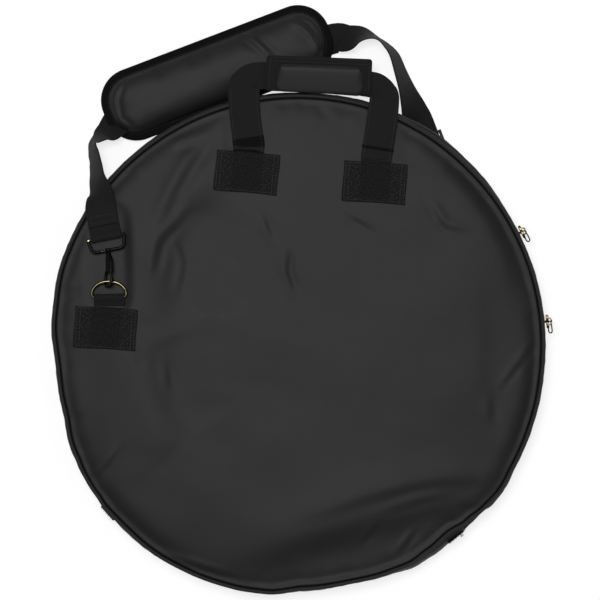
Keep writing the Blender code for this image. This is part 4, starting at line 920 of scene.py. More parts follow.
def smooth_by_angle(obj, degrees=40):
    """Keep hard edges sharp and the rest smooth."""
    bm = bmesh.new()
    bm.from_mesh(obj.data)
    for edge in bm.edges:
        edge.smooth = edge.calc_face_angle(0.0) < math.radians(degrees)
    for face in bm.faces:
        face.smooth = True
    bm.to_mesh(obj.data)
    bm.free()
    return obj


def spun(bm, points, axis, angle, steps, merge=False):
    """Spin an open chain of points about an axis through the origin."""
    chain = [bm.verts.new(point) for point in points]
    edges = [bm.edges.new(pair) for pair in zip(chain, chain[1:])]
    bmesh.ops.spin(
        bm, geom=chain + edges, cent=(0, 0, 0), axis=axis, angle=angle, steps=steps, use_merge=merge
    )


def face_along(bm, direction):
    """Turn all the faces so that the first one looks along a direction."""
    bmesh.ops.recalc_face_normals(bm, faces=bm.faces)
    if bm.faces[0].normal.dot(direction) < 0:
        bmesh.ops.reverse_faces(bm, faces=bm.faces)


def rounded_bar(name, size, place, bevel, segments=2):
    """A box with its edges rounded."""
    bm = bmesh.new()
    bmesh.ops.create_cube(bm, size=1.0)
    bmesh.ops.scale(bm, vec=size, verts=bm.verts)
    bmesh.ops.bevel(
        bm, geom=list(bm.edges), offset=bevel, affect="EDGES", segments=segments, profile=0.5, material=-1
    )
    bmesh.ops.transform(bm, matrix=place, verts=bm.verts)
    return smooth_by_angle(new_object(name, bm), 50)


def straight_row(place, start, end, parts):
    """Points evenly along a straight line given in the place's own frame."""
    first, last = Vector(start), Vector(end)
    return [place @ first.lerp(last, n / parts) for n in range(parts + 1)]


def stitches(name, rows, body):
    """Sewing thread: rows of short stitches, each row a list of points and a way out of the cloth."""
    sizes = bag_sizes()
    pitch = sizes.stitch_length + sizes.stitch_gap
    bm = bmesh.new()
    for points, outward in rows:
        travelled = 0.0
        due = pitch / 2
        for n, (a, b) in enumerate(zip(points, points[1:])):
            length = (b - a).length
            while travelled + length > due:
                centre = a.lerp(b, (due - travelled) / length)
                out = outward[min(n, len(outward) - 1)] if isinstance(outward, list) else outward
                run = (b - a).normalized()
                side = run.cross(out).normalized()
                up = side.cross(run)
                size = Matrix.Diagonal((THREAD_HALF_WIDTH, sizes.stitch_length / 2, THREAD_HALF_HEIGHT, 1))
                lie = placed(side, run, up, centre)
                bmesh.ops.create_icosphere(bm, subdivisions=1, radius=1.0, matrix=lie @ size)
                due += pitch
            travelled += length
    obj = new_object(name, bm)
    return finished(obj, "thread", body)


def redress(node_name, look_name):
    """Keep a node's own shape and give it a material."""
    node = frame["nodes"][node_name]
    node.data.materials.clear()
    node.data.materials.append(look(look_name))


def front_surface(x, y):
    """The creased front cloth's height over arrays of points."""
    return front_height(x, y) + front_relief(x, y)


# Materials

# Where the top crest of a wire lies across its own map, and the gilt painted on it as a highlight
CREST_ACROSS = 0.0030
PAINTED_GILT_HIGHLIGHT = (0.80, 0.66, 0.34)


class Signal:
    """A number that changes over a surface. Arithmetic on it adds Math nodes to its material."""

    def __init__(self, recipe, socket):
        self.recipe = recipe
        self.socket = socket

    def maths(self, operation, *others):
        inputs = {0: self}
        for place, other in enumerate(others, 1):
            inputs[place] = other
        return self.recipe.node("ShaderNodeMath", {"operation": operation}, inputs)

    def __add__(self, other):
        return self.maths("ADD", other)

    __radd__ = __add__

    def __sub__(self, other):
        return self.maths("SUBTRACT", other)

    def __rsub__(self, other):
        return self.recipe.node("ShaderNodeMath", {"operation": "SUBTRACT"}, {0: other, 1: self})

    def __mul__(self, other):
        return self.maths("MULTIPLY", other)

    def sine(self):
        return self.maths("SINE")

    def size(self):
        return self.maths("ABSOLUTE")

    def between(self, low, high):
        """0 below low, 1 above high."""
        inputs = {"Value": self, "From Min": low, "From Max": high}
        return self.recipe.node("ShaderNodeMapRange", {"interpolation_type": "SMOOTHSTEP"}, inputs)


class Recipe:
    """One material and the nodes in it."""

    def __init__(self, name):
        self.material = bpy.data.materials.new(name)
        self.material.use_nodes = True
        self.tree = self.material.node_tree
        self.tree.nodes.clear()

    def node(self, kind, settings=None, inputs=None, output=0):
        """Add a node: its settings first, then the values or links of its sockets."""
        node = self.tree.nodes.new(kind)
        for key, value in (settings or {}).items():
            if key == "stops":
                while len(node.color_ramp.elements) < len(value):
                    node.color_ramp.elements.new(1.0)
                for element, (position, colour) in zip(node.color_ramp.elements, value):
                    element.position = position
                    element.color = (*colour, 1)
            else:
                setattr(node, key, value)
        for key, value in (inputs or {}).items():
            if isinstance(value, Signal):
                self.tree.links.new(value.socket, node.inputs[key])
            else:
                node.inputs[key].default_value = value
        return Signal(self, node.outputs[output]) if node.outputs else None

    def cloth_map(self):
        """Across and along the cloth in metres, from its own map."""
        where = self.node("ShaderNodeUVMap", {"uv_map": "cloth"})
        across = self.node("ShaderNodeSeparateXYZ", {}, {0: where}, 0)
        along = Signal(self, across.socket.node.outputs[1])
        return where, across, along

    def place(self):
        """Where a point is on the object, in metres."""
        return self.node("ShaderNodeTexCoord", {}, {}, "Object")

    def noise(self, vector, scale, detail=2.0, roughness=0.5):
        inputs = {"Vector": vector, "Scale": scale, "Detail": detail, "Roughness": roughness}
        return self.node("ShaderNodeTexNoise", {"noise_dimensions": "3D"}, inputs, 0)

    def mix(self, share, first, second):
        """A colour between two colours."""
        node = self.tree.nodes.new("ShaderNodeMix")
        node.data_type = "RGBA"
        for key, value in ((0, share), (6, first), (7, second)):
            if isinstance(value, Signal):
                self.tree.links.new(value.socket, node.inputs[key])
            else:
                node.inputs[key].default_value = value if key == 0 else (*value, 1)
        return Signal(self, node.outputs[2])

    def finish(self, bump=None, bump_distance=0.0003, bump_strength=1.0, **inputs):
        """The shader itself, with its bump, and the material's output."""
        values = {key.replace("_", " "): value for key, value in inputs.items()}
        if bump is not None:
            height = {"Height": bump, "Distance": bump_distance, "Strength": bump_strength}
            values["Normal"] = self.node("ShaderNodeBump", {}, height)
        shader = self.node("ShaderNodeBsdfPrincipled", {}, values)
        self.node("ShaderNodeOutputMaterial", {}, {"Surface": shader})
        return self.material


def shade(colour, factor):
    """A colour made darker or lighter."""
    return tuple(min(c * factor, 1.0) for c in colour)


def ribbing(signal, pitch):
    """Even ribs between 0 and 1 over a distance."""
    return (signal * (math.tau / pitch)).sine() * 0.5 + 0.5


def weave(across, along, pitch, squareness=1.0):
    """Height of a plain weave, where threads pass over and under each other in turn."""
    a = (across * (math.pi / pitch)).sine()
    b = (along * (math.pi / (pitch * squareness))).sine()
    over = (a * b).between(-0.25, 0.25)
    return over * a.size() + (1 - over) * b.size()


def shell_cloth(name):
    """The bag's dull coated cloth: a fine plain weave, a little lighter where worn."""
    recipe = Recipe(name)
    colours = bag_colours()
    sizes = bag_sizes()
    cloth, across, along = recipe.cloth_map()
    threads = weave(across, along, sizes.weave_pitch)
    spot = recipe.place()
    mottle = recipe.noise(spot, 55.0, 4.0, 0.6)
    slub = recipe.noise(cloth, 900.0, 2.0, 0.6)
    share = threads * 0.55 + mottle * 0.25 + slub * 0.35 - 0.1
    colour = recipe.mix(share.between(0.0, 1.0), shade(colours.cloth, 0.62), shade(colours.cloth, 1.45))
    return recipe.finish(
        bump=threads * 0.7 + slub * 0.5, bump_distance=0.00022, bump_strength=0.35,
        Base_Color=colour, Roughness=0.50 + mottle * 0.08, Specular_IOR_Level=0.26,
    )


def patch_cloth(name):
    """The patches' coarse speckled ballistic cloth, with painted shade darkening its middle over the webbing.
    """
    recipe = Recipe(name)
    base = bag_colours().patch
    cloth, across, along = recipe.cloth_map()
    threads = weave(across, along, 0.0016, 0.8)
    slub = recipe.noise(cloth, 460.0, 3.0, 0.7)
    speckle = recipe.noise(cloth, 620.0, 1.0, 0.5).between(0.52, 0.66)
    share = (threads * 0.4 + slub * 1.4 - 0.55).between(0.0, 1.0)
    colour = recipe.mix(share, shade(base, 0.15), shade(base, 1.9))
    colour = recipe.mix(speckle * 0.7, colour, shade(base, 5.5))
    # Painted shade: the middle over the webbing beneath is darker
    shaded_over_webbing = 1 - (across.size()).between(WEBBING_WIDTH * 0.44, WEBBING_WIDTH * 0.54)
    colour = recipe.mix(shaded_over_webbing * 0.4, colour, shade(base, 0.3))
    return recipe.finish(
        bump=threads + slub * 0.5, bump_distance=0.0005, bump_strength=0.9,
        Base_Color=colour, Roughness=0.68 + slub * 0.25, Specular_IOR_Level=0.2,
    )


def webbing_cloth(name):
    """Woven strap: ribs across the run, broken into slanting rows, with a plain selvedge."""
    recipe = Recipe(name)
    base = bag_colours().webbing
    cloth, across, along = recipe.cloth_map()
    ribs = ribbing(along, 0.0022)
    slant = ribbing(across * 0.9 + along, 0.0024)
    threads = weave(across, along, 0.0012, 1.4)
    fuzz = recipe.noise(cloth, 560.0, 3.0, 0.7)
    height = ribs * 0.15 + slant * 0.45 + threads * 0.4
    share = (height * 0.7 + fuzz * 1.2 - 0.55).between(0.0, 1.0)
    colour = recipe.mix(share, shade(base, 0.2), shade(base, 2.2))
    return recipe.finish(
        bump=height + fuzz * 0.35, bump_distance=0.0003, bump_strength=0.8,
        Base_Color=colour, Roughness=0.66 + fuzz * 0.25, Sheen_Weight=0.04, Specular_IOR_Level=0.2,
    )


def cord_cloth(name):
    """Close smooth cloth over a cord, and the zip's tape."""
    recipe = Recipe(name)
    base = bag_colours().piping
    _, across, along = recipe.cloth_map()
    ribs = ribbing(along + across * 0.5, 0.0009)
    worn = recipe.noise(recipe.place(), 90.0, 3.0, 0.6)
    share = (ribs * 0.5 + worn * 0.6 - 0.1).between(0.0, 1.0)
    colour = recipe.mix(share, shade(base, 0.5), shade(base, 1.6))
    return recipe.finish(
        bump=ribs, bump_distance=0.0002, bump_strength=0.6,
        Base_Color=colour, Roughness=0.50 + worn * 0.25, Specular_IOR_Level=0.35,
    )


def metal(name, colour, rough, spread, glint=None, runs_from=None, crest_reach=None):
    """Cast and plated metal, a little uneven; a glint colour is painted as a highlight in runs along the top
    crest of its wires.
    """
    recipe = Recipe(name)
    spot = recipe.place()
    cloud = recipe.noise(spot, 260.0, 4.0, 0.6)
    grain = recipe.noise(spot, 1800.0, 2.0, 0.6)
    tone = recipe.mix(cloud.between(0.3, 0.8), shade(colour, 0.75), shade(colour, 1.25))
    if glint is not None:
        across = recipe.cloth_map()[1]
        crest = 1 - ((across - CREST_ACROSS) * (1 / crest_reach)).size()
        runs = recipe.noise(spot, 95.0, 2.0, 0.5).between(runs_from, runs_from + 0.12)
        # Painted highlight: the glint colour laid in runs along the top crest of each wire
        tone = recipe.mix((crest * runs).between(0.15, 0.65), tone, glint)
    return recipe.finish(
        bump=grain * 0.4 + cloud * 0.6, bump_distance=0.00006, bump_strength=0.5,
        Base_Color=tone, Metallic=1.0, Roughness=rough + cloud * spread,
    )


def grainy(name, scale, detail, roughness, dark, light, bump_distance, bump_strength, rough, rough_spread):
    """A plain finish whose colour, bump and shine all follow one noise."""
    recipe = Recipe(name)
    grain = recipe.noise(recipe.place(), scale, detail, roughness)
    return recipe.finish(
        bump=grain, bump_distance=bump_distance, bump_strength=bump_strength,
        Base_Color=recipe.mix(grain, dark, light), Roughness=rough + grain * rough_spread,
    )


def thread_look(name):
    """Black sewing thread, a little shinier than the cloth."""
    dark, light = (0.012, 0.012, 0.013), (0.055, 0.055, 0.058)
    return grainy(name, 1500.0, 2.0, 0.5, dark, light, 0.0001, 0.5, 0.45, 0.2)


def coil_look(name):
    """Zip teeth of black nylon."""
    dark, light = (0.010, 0.010, 0.011), (0.045, 0.044, 0.044)
    return grainy(name, 120.0, 3.0, 0.6, dark, light, 0.0001, 0.4, 0.26, 0.2)


def velcro_look(name):
    """Touch fastener: a dense fuzzy pile."""
    dark, light = (0.004, 0.004, 0.004), (0.035, 0.035, 0.036)
    return grainy(name, 2200.0, 2.0, 0.8, dark, light, 0.0006, 1.0, 0.85, 0.1)


def dark_plated(name, glint_factor, runs_from, crest_reach):
    """Dark plated metal with a painted highlight along the top crest of its wires: gilt, or a lighter shade
    of itself.
    """
    dark = tuple(bag_colours().metal)
    glint = PAINTED_GILT_HIGHLIGHT if glint_factor is None else shade(dark, glint_factor)
    return metal(name, dark, 0.34, 0.16, glint, runs_from, crest_reach)


def dark_metal_look(name):
    """The pulls' and swivel eyes' metal: short runs of gilt painted along the top crest as a highlight."""
    return dark_plated(name, None, 0.54, 0.0013)


def hook_look(name):
    """Black plated casting with a faint grey highlight painted along its wire."""
    return dark_plated(name, 9, 0.30, 0.0008)


def ring_look(name):
    """The D-rings' wire, with a gilt highlight painted along its top crest nearly all the way."""
    return dark_plated(name, None, 0.25, 0.0004)


def slider_look(name):
    """Dark zip metal with brass patches at random: partly rubbed brass, partly painted glints."""
    recipe = Recipe(name)
    rubbed_and_glinting = recipe.noise(recipe.place(), 330.0, 2.0, 0.5)
    colours = bag_colours()
    # Partly painted glints: brass mixed into the dark metal in random patches
    tone = recipe.mix(rubbed_and_glinting.between(0.46, 0.56), tuple(colours.metal), tuple(colours.brass))
    return recipe.finish(
        bump=rubbed_and_glinting, bump_distance=0.0001, bump_strength=0.3, Base_Color=tone, Metallic=1.0,
        Roughness=0.34 + rubbed_and_glinting * 0.14,
    )


def binding_look(name):
    """Dull black cloth tape, darker than the piping: the pad's binding, and the front handle's dark bands and
    left anchor, which are painted shade.
    """
    recipe = Recipe(name)
    base = bag_colours().webbing
    cloth, _, _ = recipe.cloth_map()
    fuzz = recipe.noise(cloth, 800.0, 2.0, 0.6)
    colour = recipe.mix(fuzz, shade(base, 0.35), shade(base, 1.1))
    return recipe.finish(
        bump=fuzz, bump_distance=0.0002, bump_strength=0.5, Base_Color=colour, Roughness=0.86 + fuzz * 0.1,
        Specular_IOR_Level=0.1,
    )


def brass_look(name):
    """The zip's end stops."""
    return metal(name, tuple(bag_colours().brass), 0.26, 0.12)


def steel_look(name):
    """The bolts' springs."""
    return metal(name, (0.46, 0.46, 0.48), 0.3, 0.1)


# The finishes that have been made, and what makes each of them
LOOKS = {}
LOOK_MAKERS = {
    "shell": shell_cloth,
    "patch": patch_cloth,
    "webbing": webbing_cloth,
    "piping": cord_cloth,
    "thread": thread_look,
    "coil": coil_look,
    "velcro": velcro_look,
    "binding": binding_look,
    "dark_metal": dark_metal_look,
    "hook": hook_look,
    "ring": ring_look,
    "slider": slider_look,
    "brass": brass_look,
    "steel": steel_look,
}


def look(name):
    """A finish by name, made the first time that it is asked for."""
    if name not in LOOKS:
        LOOKS[name] = LOOK_MAKERS[name]("bag_" + name)
    return LOOKS[name]


FRONT_PLACE = fixing_place(FRONT_RING_X, FRONT_RING_BAR_Y, FRONT_FIXING_ANGLE, 1)
BACK_BAR_Y = BACK_PATCH_Y + FRONT_RING_BAR_Y - FRONT_PATCH_CENTRE[1]
BACK_PLACE = fixing_place(BACK_RING_X, BACK_BAR_Y, BACK_FIXING_ANGLE, -1)


# Pieces


def fine_disc(name, rings, steps):
    """A flat disc of the panel's size: one row of cells spun round its middle."""
    bm = bmesh.new()
    shares = [n / rings for n in range(rings + 1)]
    finer_outside = [share * 0.75 + 0.25 * math.sin(share * math.pi / 2) for share in shares]
    spun(bm, [(PANEL_RADIUS * share, 0, 0) for share in finer_outside], (0, 0, 1), math.tau, steps, True)
    bmesh.ops.remove_doubles(bm, verts=bm.verts, dist=0.00001)
    face_along(bm, UP)
    return new_object(name, bm)


def held_true(degrees, z):
    """1 where a slider parks at an end of the zip and its chain runs round, 0 away from it."""
    held = np.zeros_like(z)
    for parked in PARKED_ANGLES:
        away = np.abs(np.mod(degrees - parked + 180, 360) - 180)
        held = np.maximum(held, 1 - smooth_step((away - PARKED_REACH) / PARKED_FADE))
    return held * (1 - smooth_step((np.abs(z - ZIP_Z) - PARKED_HEIGHT) / PARKED_HEIGHT_FADE))


def wander_rim(points, swell_share=0.0):
    """Move points with the rim's unevenness, which fades towards the middle, and with the sides' swell."""
    radius = np.hypot(points[:, 0], points[:, 1])
    degrees = np.degrees(np.arctan2(points[:, 1], points[:, 0]))
    out = round_the_rim(RIM_WANDER, degrees) * smooth_step((radius - 0.2) / 0.1)
    out = out + round_the_rim(SIDE_SWELL, degrees) * swell_share
    out = out * (1 - held_true(degrees, points[:, 2]))
    scale = (radius + out) / np.maximum(radius, 0.00001)
    moved = points.copy()
    moved[:, 0] *= scale
    moved[:, 1] *= scale
    return moved


def make_front_cloth():
    """The creased cloth of the lid and of the strip below its fold."""
    obj = fine_disc("front_cloth", 92, 330)
    points = shape_array(obj.data)
    x, y = points[:, 0], points[:, 1]
    points[:, 2] = front_surface(x, y)
    lay_plan_map(obj)
    set_shape(obj.data, wander_rim(points))
    wall(obj, PANEL_THICKNESS)
    finished(obj, "shell", None, ("front_panel", "front_panel_foot"))
    bend_at_fold(obj)


def bend_at_fold(obj):
    """Bake a lid piece's placing into its mesh."""
    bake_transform(obj)


def make_back_cloth():
    """The back panel's cloth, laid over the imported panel's own hollows."""
    merged = bmesh.new()
    merged.from_mesh(frame["nodes"]["back_panel"].data)
    bmesh.ops.remove_doubles(merged, verts=merged.verts, dist=0.00001)
    tree = BVHTree.FromBMesh(merged)
    obj = fine_disc("back_cloth", 72, 300)
    points = shape_array(obj.data)
    for n, (x, y, _) in enumerate(points):
        hit = tree.ray_cast(Vector((x * INSIDE_RIM, y * INSIDE_RIM, -BAG_DEPTH)), UP)
        points[n, 2] = hit[0].z if hit[0] is not None else PIPING_Z - PIPING_RADIUS / 2
    merged.free()
    lay_plan_map(obj)
    bm = bmesh.new()
    set_shape(obj.data, points)
    bm.from_mesh(obj.data)
    inner = [vert for vert in bm.verts if not vert.is_boundary]
    for _ in range(6):
        bmesh.ops.smooth_vert(
            bm, verts=inner, factor=0.5, use_axis_x=False, use_axis_y=False, use_axis_z=True
        )
    bm.to_mesh(obj.data)
    bm.free()
    points = shape_array(obj.data)
    x, y = points[:, 0], points[:, 1]
    angle = np.arctan2(y, x)
    pucker = np.sin(angle * 57 + 2 * np.sin(angle * 5)) * bell(np.hypot(x, y) - PUCKER_RADIUS, 0.012)
    raised = smooth_step((points[:, 2] - BACK_RAISED) / BACK_RAISED_FADE)
    seed, scale, height = BACK_SLACK
    points[:, 2] += (pucker * BACK_PUCKER + ripple(x, y, seed, scale) * height) * raised
    points[:, 2] = np.maximum(points[:, 2], BACK_LOWEST)
    set_shape(obj.data, wander_rim(points))
    obj.data.flip_normals()
    wall(obj, PANEL_THICKNESS)
    finished(obj, "shell", "bag_body", ("back_panel",))


def rim_points(radius, height, start, end, step=1.5, swell_share=0.0):
    """Points round the rim at this radius and height, moved with the rim's wander."""
    count = max(2, math.ceil(abs(end - start) / step))
    angles = np.radians(np.linspace(start, end, count + 1))
    heights = np.full_like(angles, height)
    points = np.stack((radius * np.cos(angles), radius * np.sin(angles), heights), axis=1)
    return [Vector(p) for p in wander_rim(points, swell_share)]


def make_piping():
    """The cords round both panels."""
    for name, height, nodes in (
        ("front_piping_cord", BAG_DEPTH - PIPING_Z, ("front_piping", "front_piping_foot")),
        ("back_piping_cord", PIPING_Z, ("back_piping",)),
    ):
        circle = rim_points(RIM_RADIUS, height, 0, 360, 1.0)[:-1]
        obj = wire_ring(name, circle, UP, PIPING_RADIUS, 12)
        if name.startswith("front"):
            finished(obj, "piping", None, nodes)
            bend_at_fold(obj)
        else:
            finished(obj, "piping", "bag_body", nodes)


def side_band(name, profile, start, end, seams, zip_side=None):
    """Side cloth round the rim: a spun profile, swelling and puckering between seams or out to the zip."""
    bm = bmesh.new()
    turn = rotation(start, "Z").to_3x3()
    steps = max(4, int((end - start) * 1.1))
    spun(bm, [turn @ Vector((r, 0, z)) for r, z in profile], (0, 0, 1), math.radians(end - start), steps)
    face_along(bm, turn @ Vector((1, 0, 0)))
    obj = new_object(name, bm)
    points = shape_array(obj.data)
    x, y, z = points[:, 0], points[:, 1], points[:, 2]
    angle = np.arctan2(y, x)
    degrees = np.degrees(angle)
    lay_rim_map(obj)
    low, high = seams
    share = np.clip((z - low) / (high - low), 0, 1)
    arch = np.sin(share * np.pi)
    swell = round_the_rim(SIDE_SWELL, degrees) * (1 - held_true(degrees, z))
    pucker = np.sin(angle * 73 + 4 * np.sin(angle * 9)) * np.sin(angle * 19 + 0.7)
    fine_pucker = np.sin(angle * 131 + 3 * np.sin(angle * 13))
    out = (pucker * SIDE_PUCKER + fine_pucker * SIDE_FINE_PUCKER) * arch**0.5
    if zip_side is None:
        out = out + swell * arch**0.6
    else:
        to_zip = share if zip_side == "high" else 1 - share
        out = out + swell * (ZIP_SWELL_SHARE * smooth_step(to_zip) + 0.35 * arch)
    radius = np.hypot(x, y)
    points[:, 0] *= (radius + out) / radius
    points[:, 1] *= (radius + out) / radius
    points[:, 2] += arch * np.sin(angle * 23 + 1.1) * SIDE_WAVER
    set_shape(obj.data, wander_rim(points))
    return wall(obj, SIDE_THICKNESS)


def arc_profile(low, high, bulge, cells):
    """Radius and height from one seam to another, swelling between."""
    out = []
    for n in range(cells + 1):
        t = n / cells
        radius = low[0] + (high[0] - low[0]) * t + bulge * math.sin(math.pi * t)
        out.append((radius, low[1] + (high[1] - low[1]) * t))
    return out


def make_sides():
    """The side cloths: one each side of the zip, and a whole one where the lid folds."""
    seam, low = SIDE_SEAM_RADIUS, SIDE_SEAM_Z
    tape = ZIP_Z - CHAIN_GAP / 2 - 2 * CHAIN_RADIUS - SIDE_ZIP_GAP
    profile = arc_profile((seam, low), (TAPE_RADIUS + 0.0012, tape), SIDE_ZIP_BULGE, 7)
    for name, body, node, mirror in (
        ("back_side_cloth", "bag_body", "back_gusset", False),
        ("front_side_cloth", "lid", "front_gusset", True),
    ):
        run = [(r, BAG_DEPTH - z) for r, z in profile] if mirror else profile
        ends = (BAG_DEPTH - tape, BAG_DEPTH - low) if mirror else (low, tape)
        obj = side_band(name, run, -ZIP_END_ANGLE, 180 + ZIP_END_ANGLE, ends, "low" if mirror else "high")
        finished(obj, "shell", body, (node,))
        ends[1] - ends[0] + SEAM_TURNING
    ends = (low, BAG_DEPTH - low)
    profile = arc_profile((seam, ends[0]), (seam, ends[1]), GUSSET_BULGE * 0.6, 14)
    obj = side_band("hinge_side_cloth", profile, 180 + ZIP_END_ANGLE, 360 - ZIP_END_ANGLE, ends)
    finished(obj, "shell", "bag_body", ("hinge_gusset",))


def tape_band(name, low, high):
    """Flat zip tape round the rim."""
    bm = bmesh.new()
    turn = rotation(-ZIP_END_ANGLE, "Z").to_3x3()
    chain = [turn @ Vector((TAPE_RADIUS, 0, low + (high - low) * n / 3)) for n in range(4)]
    spun(bm, chain, (0, 0, 1), math.radians(180 + 2 * ZIP_END_ANGLE), 266)
    bmesh.ops.recalc_face_normals(bm, faces=bm.faces)
    obj = new_object(name, bm)
    lay_cloth_map(obj, lambda p: (p[:, 2].copy(), np.arctan2(p[:, 1], p[:, 0]) * RIM_RADIUS))
    set_shape(obj.data, wander_rim(shape_array(obj.data), ZIP_SWELL_SHARE))
    return wall(obj, TAPE_THICKNESS, 0)


def tooth_row(name, height, toward, offset):
    """The teeth of one side of the zip: one small rounded bar, repeated by spin."""
    bm = bmesh.new()
    reach = CHAIN_RADIUS * 2 + CHAIN_GAP * 0.95
    bmesh.ops.create_cube(bm, size=1.0)
    bmesh.ops.scale(bm, vec=(CHAIN_RADIUS * 1.7, TOOTH_PITCH * 0.52, reach), verts=bm.verts)
    bmesh.ops.bevel(
        bm, geom=list(bm.edges), offset=TOOTH_BEVEL, affect="EDGES", segments=1, profile=0.5, material=-1
    )
    middle = height + toward * (reach / 2 - CHAIN_RADIUS)
    bmesh.ops.translate(bm, vec=(CHAIN_RING, 0, middle), verts=bm.verts)
    count = int(math.radians(180 + 2 * ZIP_END_ANGLE) * CHAIN_RING / TOOTH_PITCH)
    step = TOOTH_PITCH / CHAIN_RING
    turn = Matrix.Rotation(math.radians(-ZIP_END_ANGLE) + step * offset, 3, "Z")
    bmesh.ops.rotate(bm, cent=(0, 0, 0), matrix=turn, verts=bm.verts)
    bmesh.ops.spin(
        bm, geom=list(bm.verts) + list(bm.edges) + list(bm.faces), cent=(0, 0, 0), axis=(0, 0, 1),
        angle=step * (count - 2), steps=count - 2, use_duplicate=True,
    )
    obj = new_object(name, bm)
    set_shape(obj.data, wander_rim(shape_array(obj.data), ZIP_SWELL_SHARE))
    return obj


def make_zip():
    """Tapes, teeth and seams of both halves of the zip, and its ends."""
    chain_z = ZIP_Z - CHAIN_GAP / 2 - CHAIN_RADIUS
    low = chain_z + CHAIN_RADIUS - TAPE_WIDTH
    seams = []
    for side, body, mirror in (("back", "bag_body", False), ("front", "lid", True)):
        edges = (low, chain_z + CHAIN_RADIUS)
        height, toward, seam_z = chain_z, 1, low + TAPE_SEAM_INSET
        if mirror:
            edges = (BAG_DEPTH - edges[1], BAG_DEPTH - edges[0])
            height, toward, seam_z = BAG_DEPTH - chain_z, -1, BAG_DEPTH - seam_z
        tape = tape_band("zip_tape_cloth_" + side, *edges)
        finished(tape, "piping", body, ("zip_tape_" + side,))
        teeth = tooth_row("zip_teeth_" + side, height, toward, 0.0 if mirror else 0.5)
        finished(teeth, "coil", body, ("zip_chain_" + side,))
        seams.append(("zip_seam_" + side, seam_z, body))
    for name, seam_z, body in seams:
        seam = rim_points(
            TAPE_RADIUS + TAPE_SEAM_RISE, seam_z, 1 - ZIP_END_ANGLE, 179 + ZIP_END_ANGLE, 1.0, ZIP_SWELL_SHARE
        )
        stitches(name, [(seam, [Vector((p.x, p.y, 0)).normalized() for p in seam])], body)
    make_zip_ends()


def make_zip_ends():
    """Cloth tabs sewn over the zip's ends, with their brass stops."""
    radius = RIM_RADIUS + GUSSET_BULGE + TAB_RISE
    near = ZIP_END_ANGLE + TAB_GAP_ANGLE
    far = near + TAB_LENGTH_ANGLE
    for side, start, end in (("right", -far, -near), ("left", 180 + near, 180 + far)):
        middle = math.radians((start + end) / 2)
        length = math.radians(TAB_LENGTH_ANGLE) * radius
        swell = float(round_the_rim(SIDE_SWELL, math.degrees(middle))) * TAB_SWELL_SHARE
        wander = float(round_the_rim(RIM_WANDER, math.degrees(middle)))
        out = radius + swell + wander - TAB_SINK
        turn = Matrix.Rotation(middle, 4, "Z") @ Matrix.Translation((out, 0, ZIP_Z))
        bm = bmesh.new()
        bmesh.ops.create_grid(bm, x_segments=10, y_segments=8, size=0.5)
        for vert in bm.verts:
            across, up = vert.co.x, vert.co.y
            bow = -((across * length) ** 2) / (2 * radius) - abs(up * 2) ** 3 * 0.0008
            vert.co = turn @ Vector((bow, across * length, up * TAB_WIDTH))
        outward = turn.to_3x3() @ Vector((1, 0, 0))
        face_along(bm, outward)
        tab = new_object("zip_end_cloth_" + side, bm)
        lay_rim_map(tab)
        wall(tab, TAB_THICKNESS, 0)
        finished(tab, "shell", "bag_body", ("zip_end_tab_" + side,))
        half_l, half_w = length / 2 - TAB_SEAM_INSET, TAB_WIDTH / 2 - TAB_SEAM_INSET
        corners = ((-1, -1), (1, -1), (1, 1), (-1, 1), (-1, -1))
        path = [turn @ Vector((TAB_SEAM_INSET / 2, half_l * a, half_w * b)) for a, b in corners]
        stitches("zip_end_seam_" + side, [(path, outward)], "bag_body")
        redress("zip_end_stop_" + side, "brass")


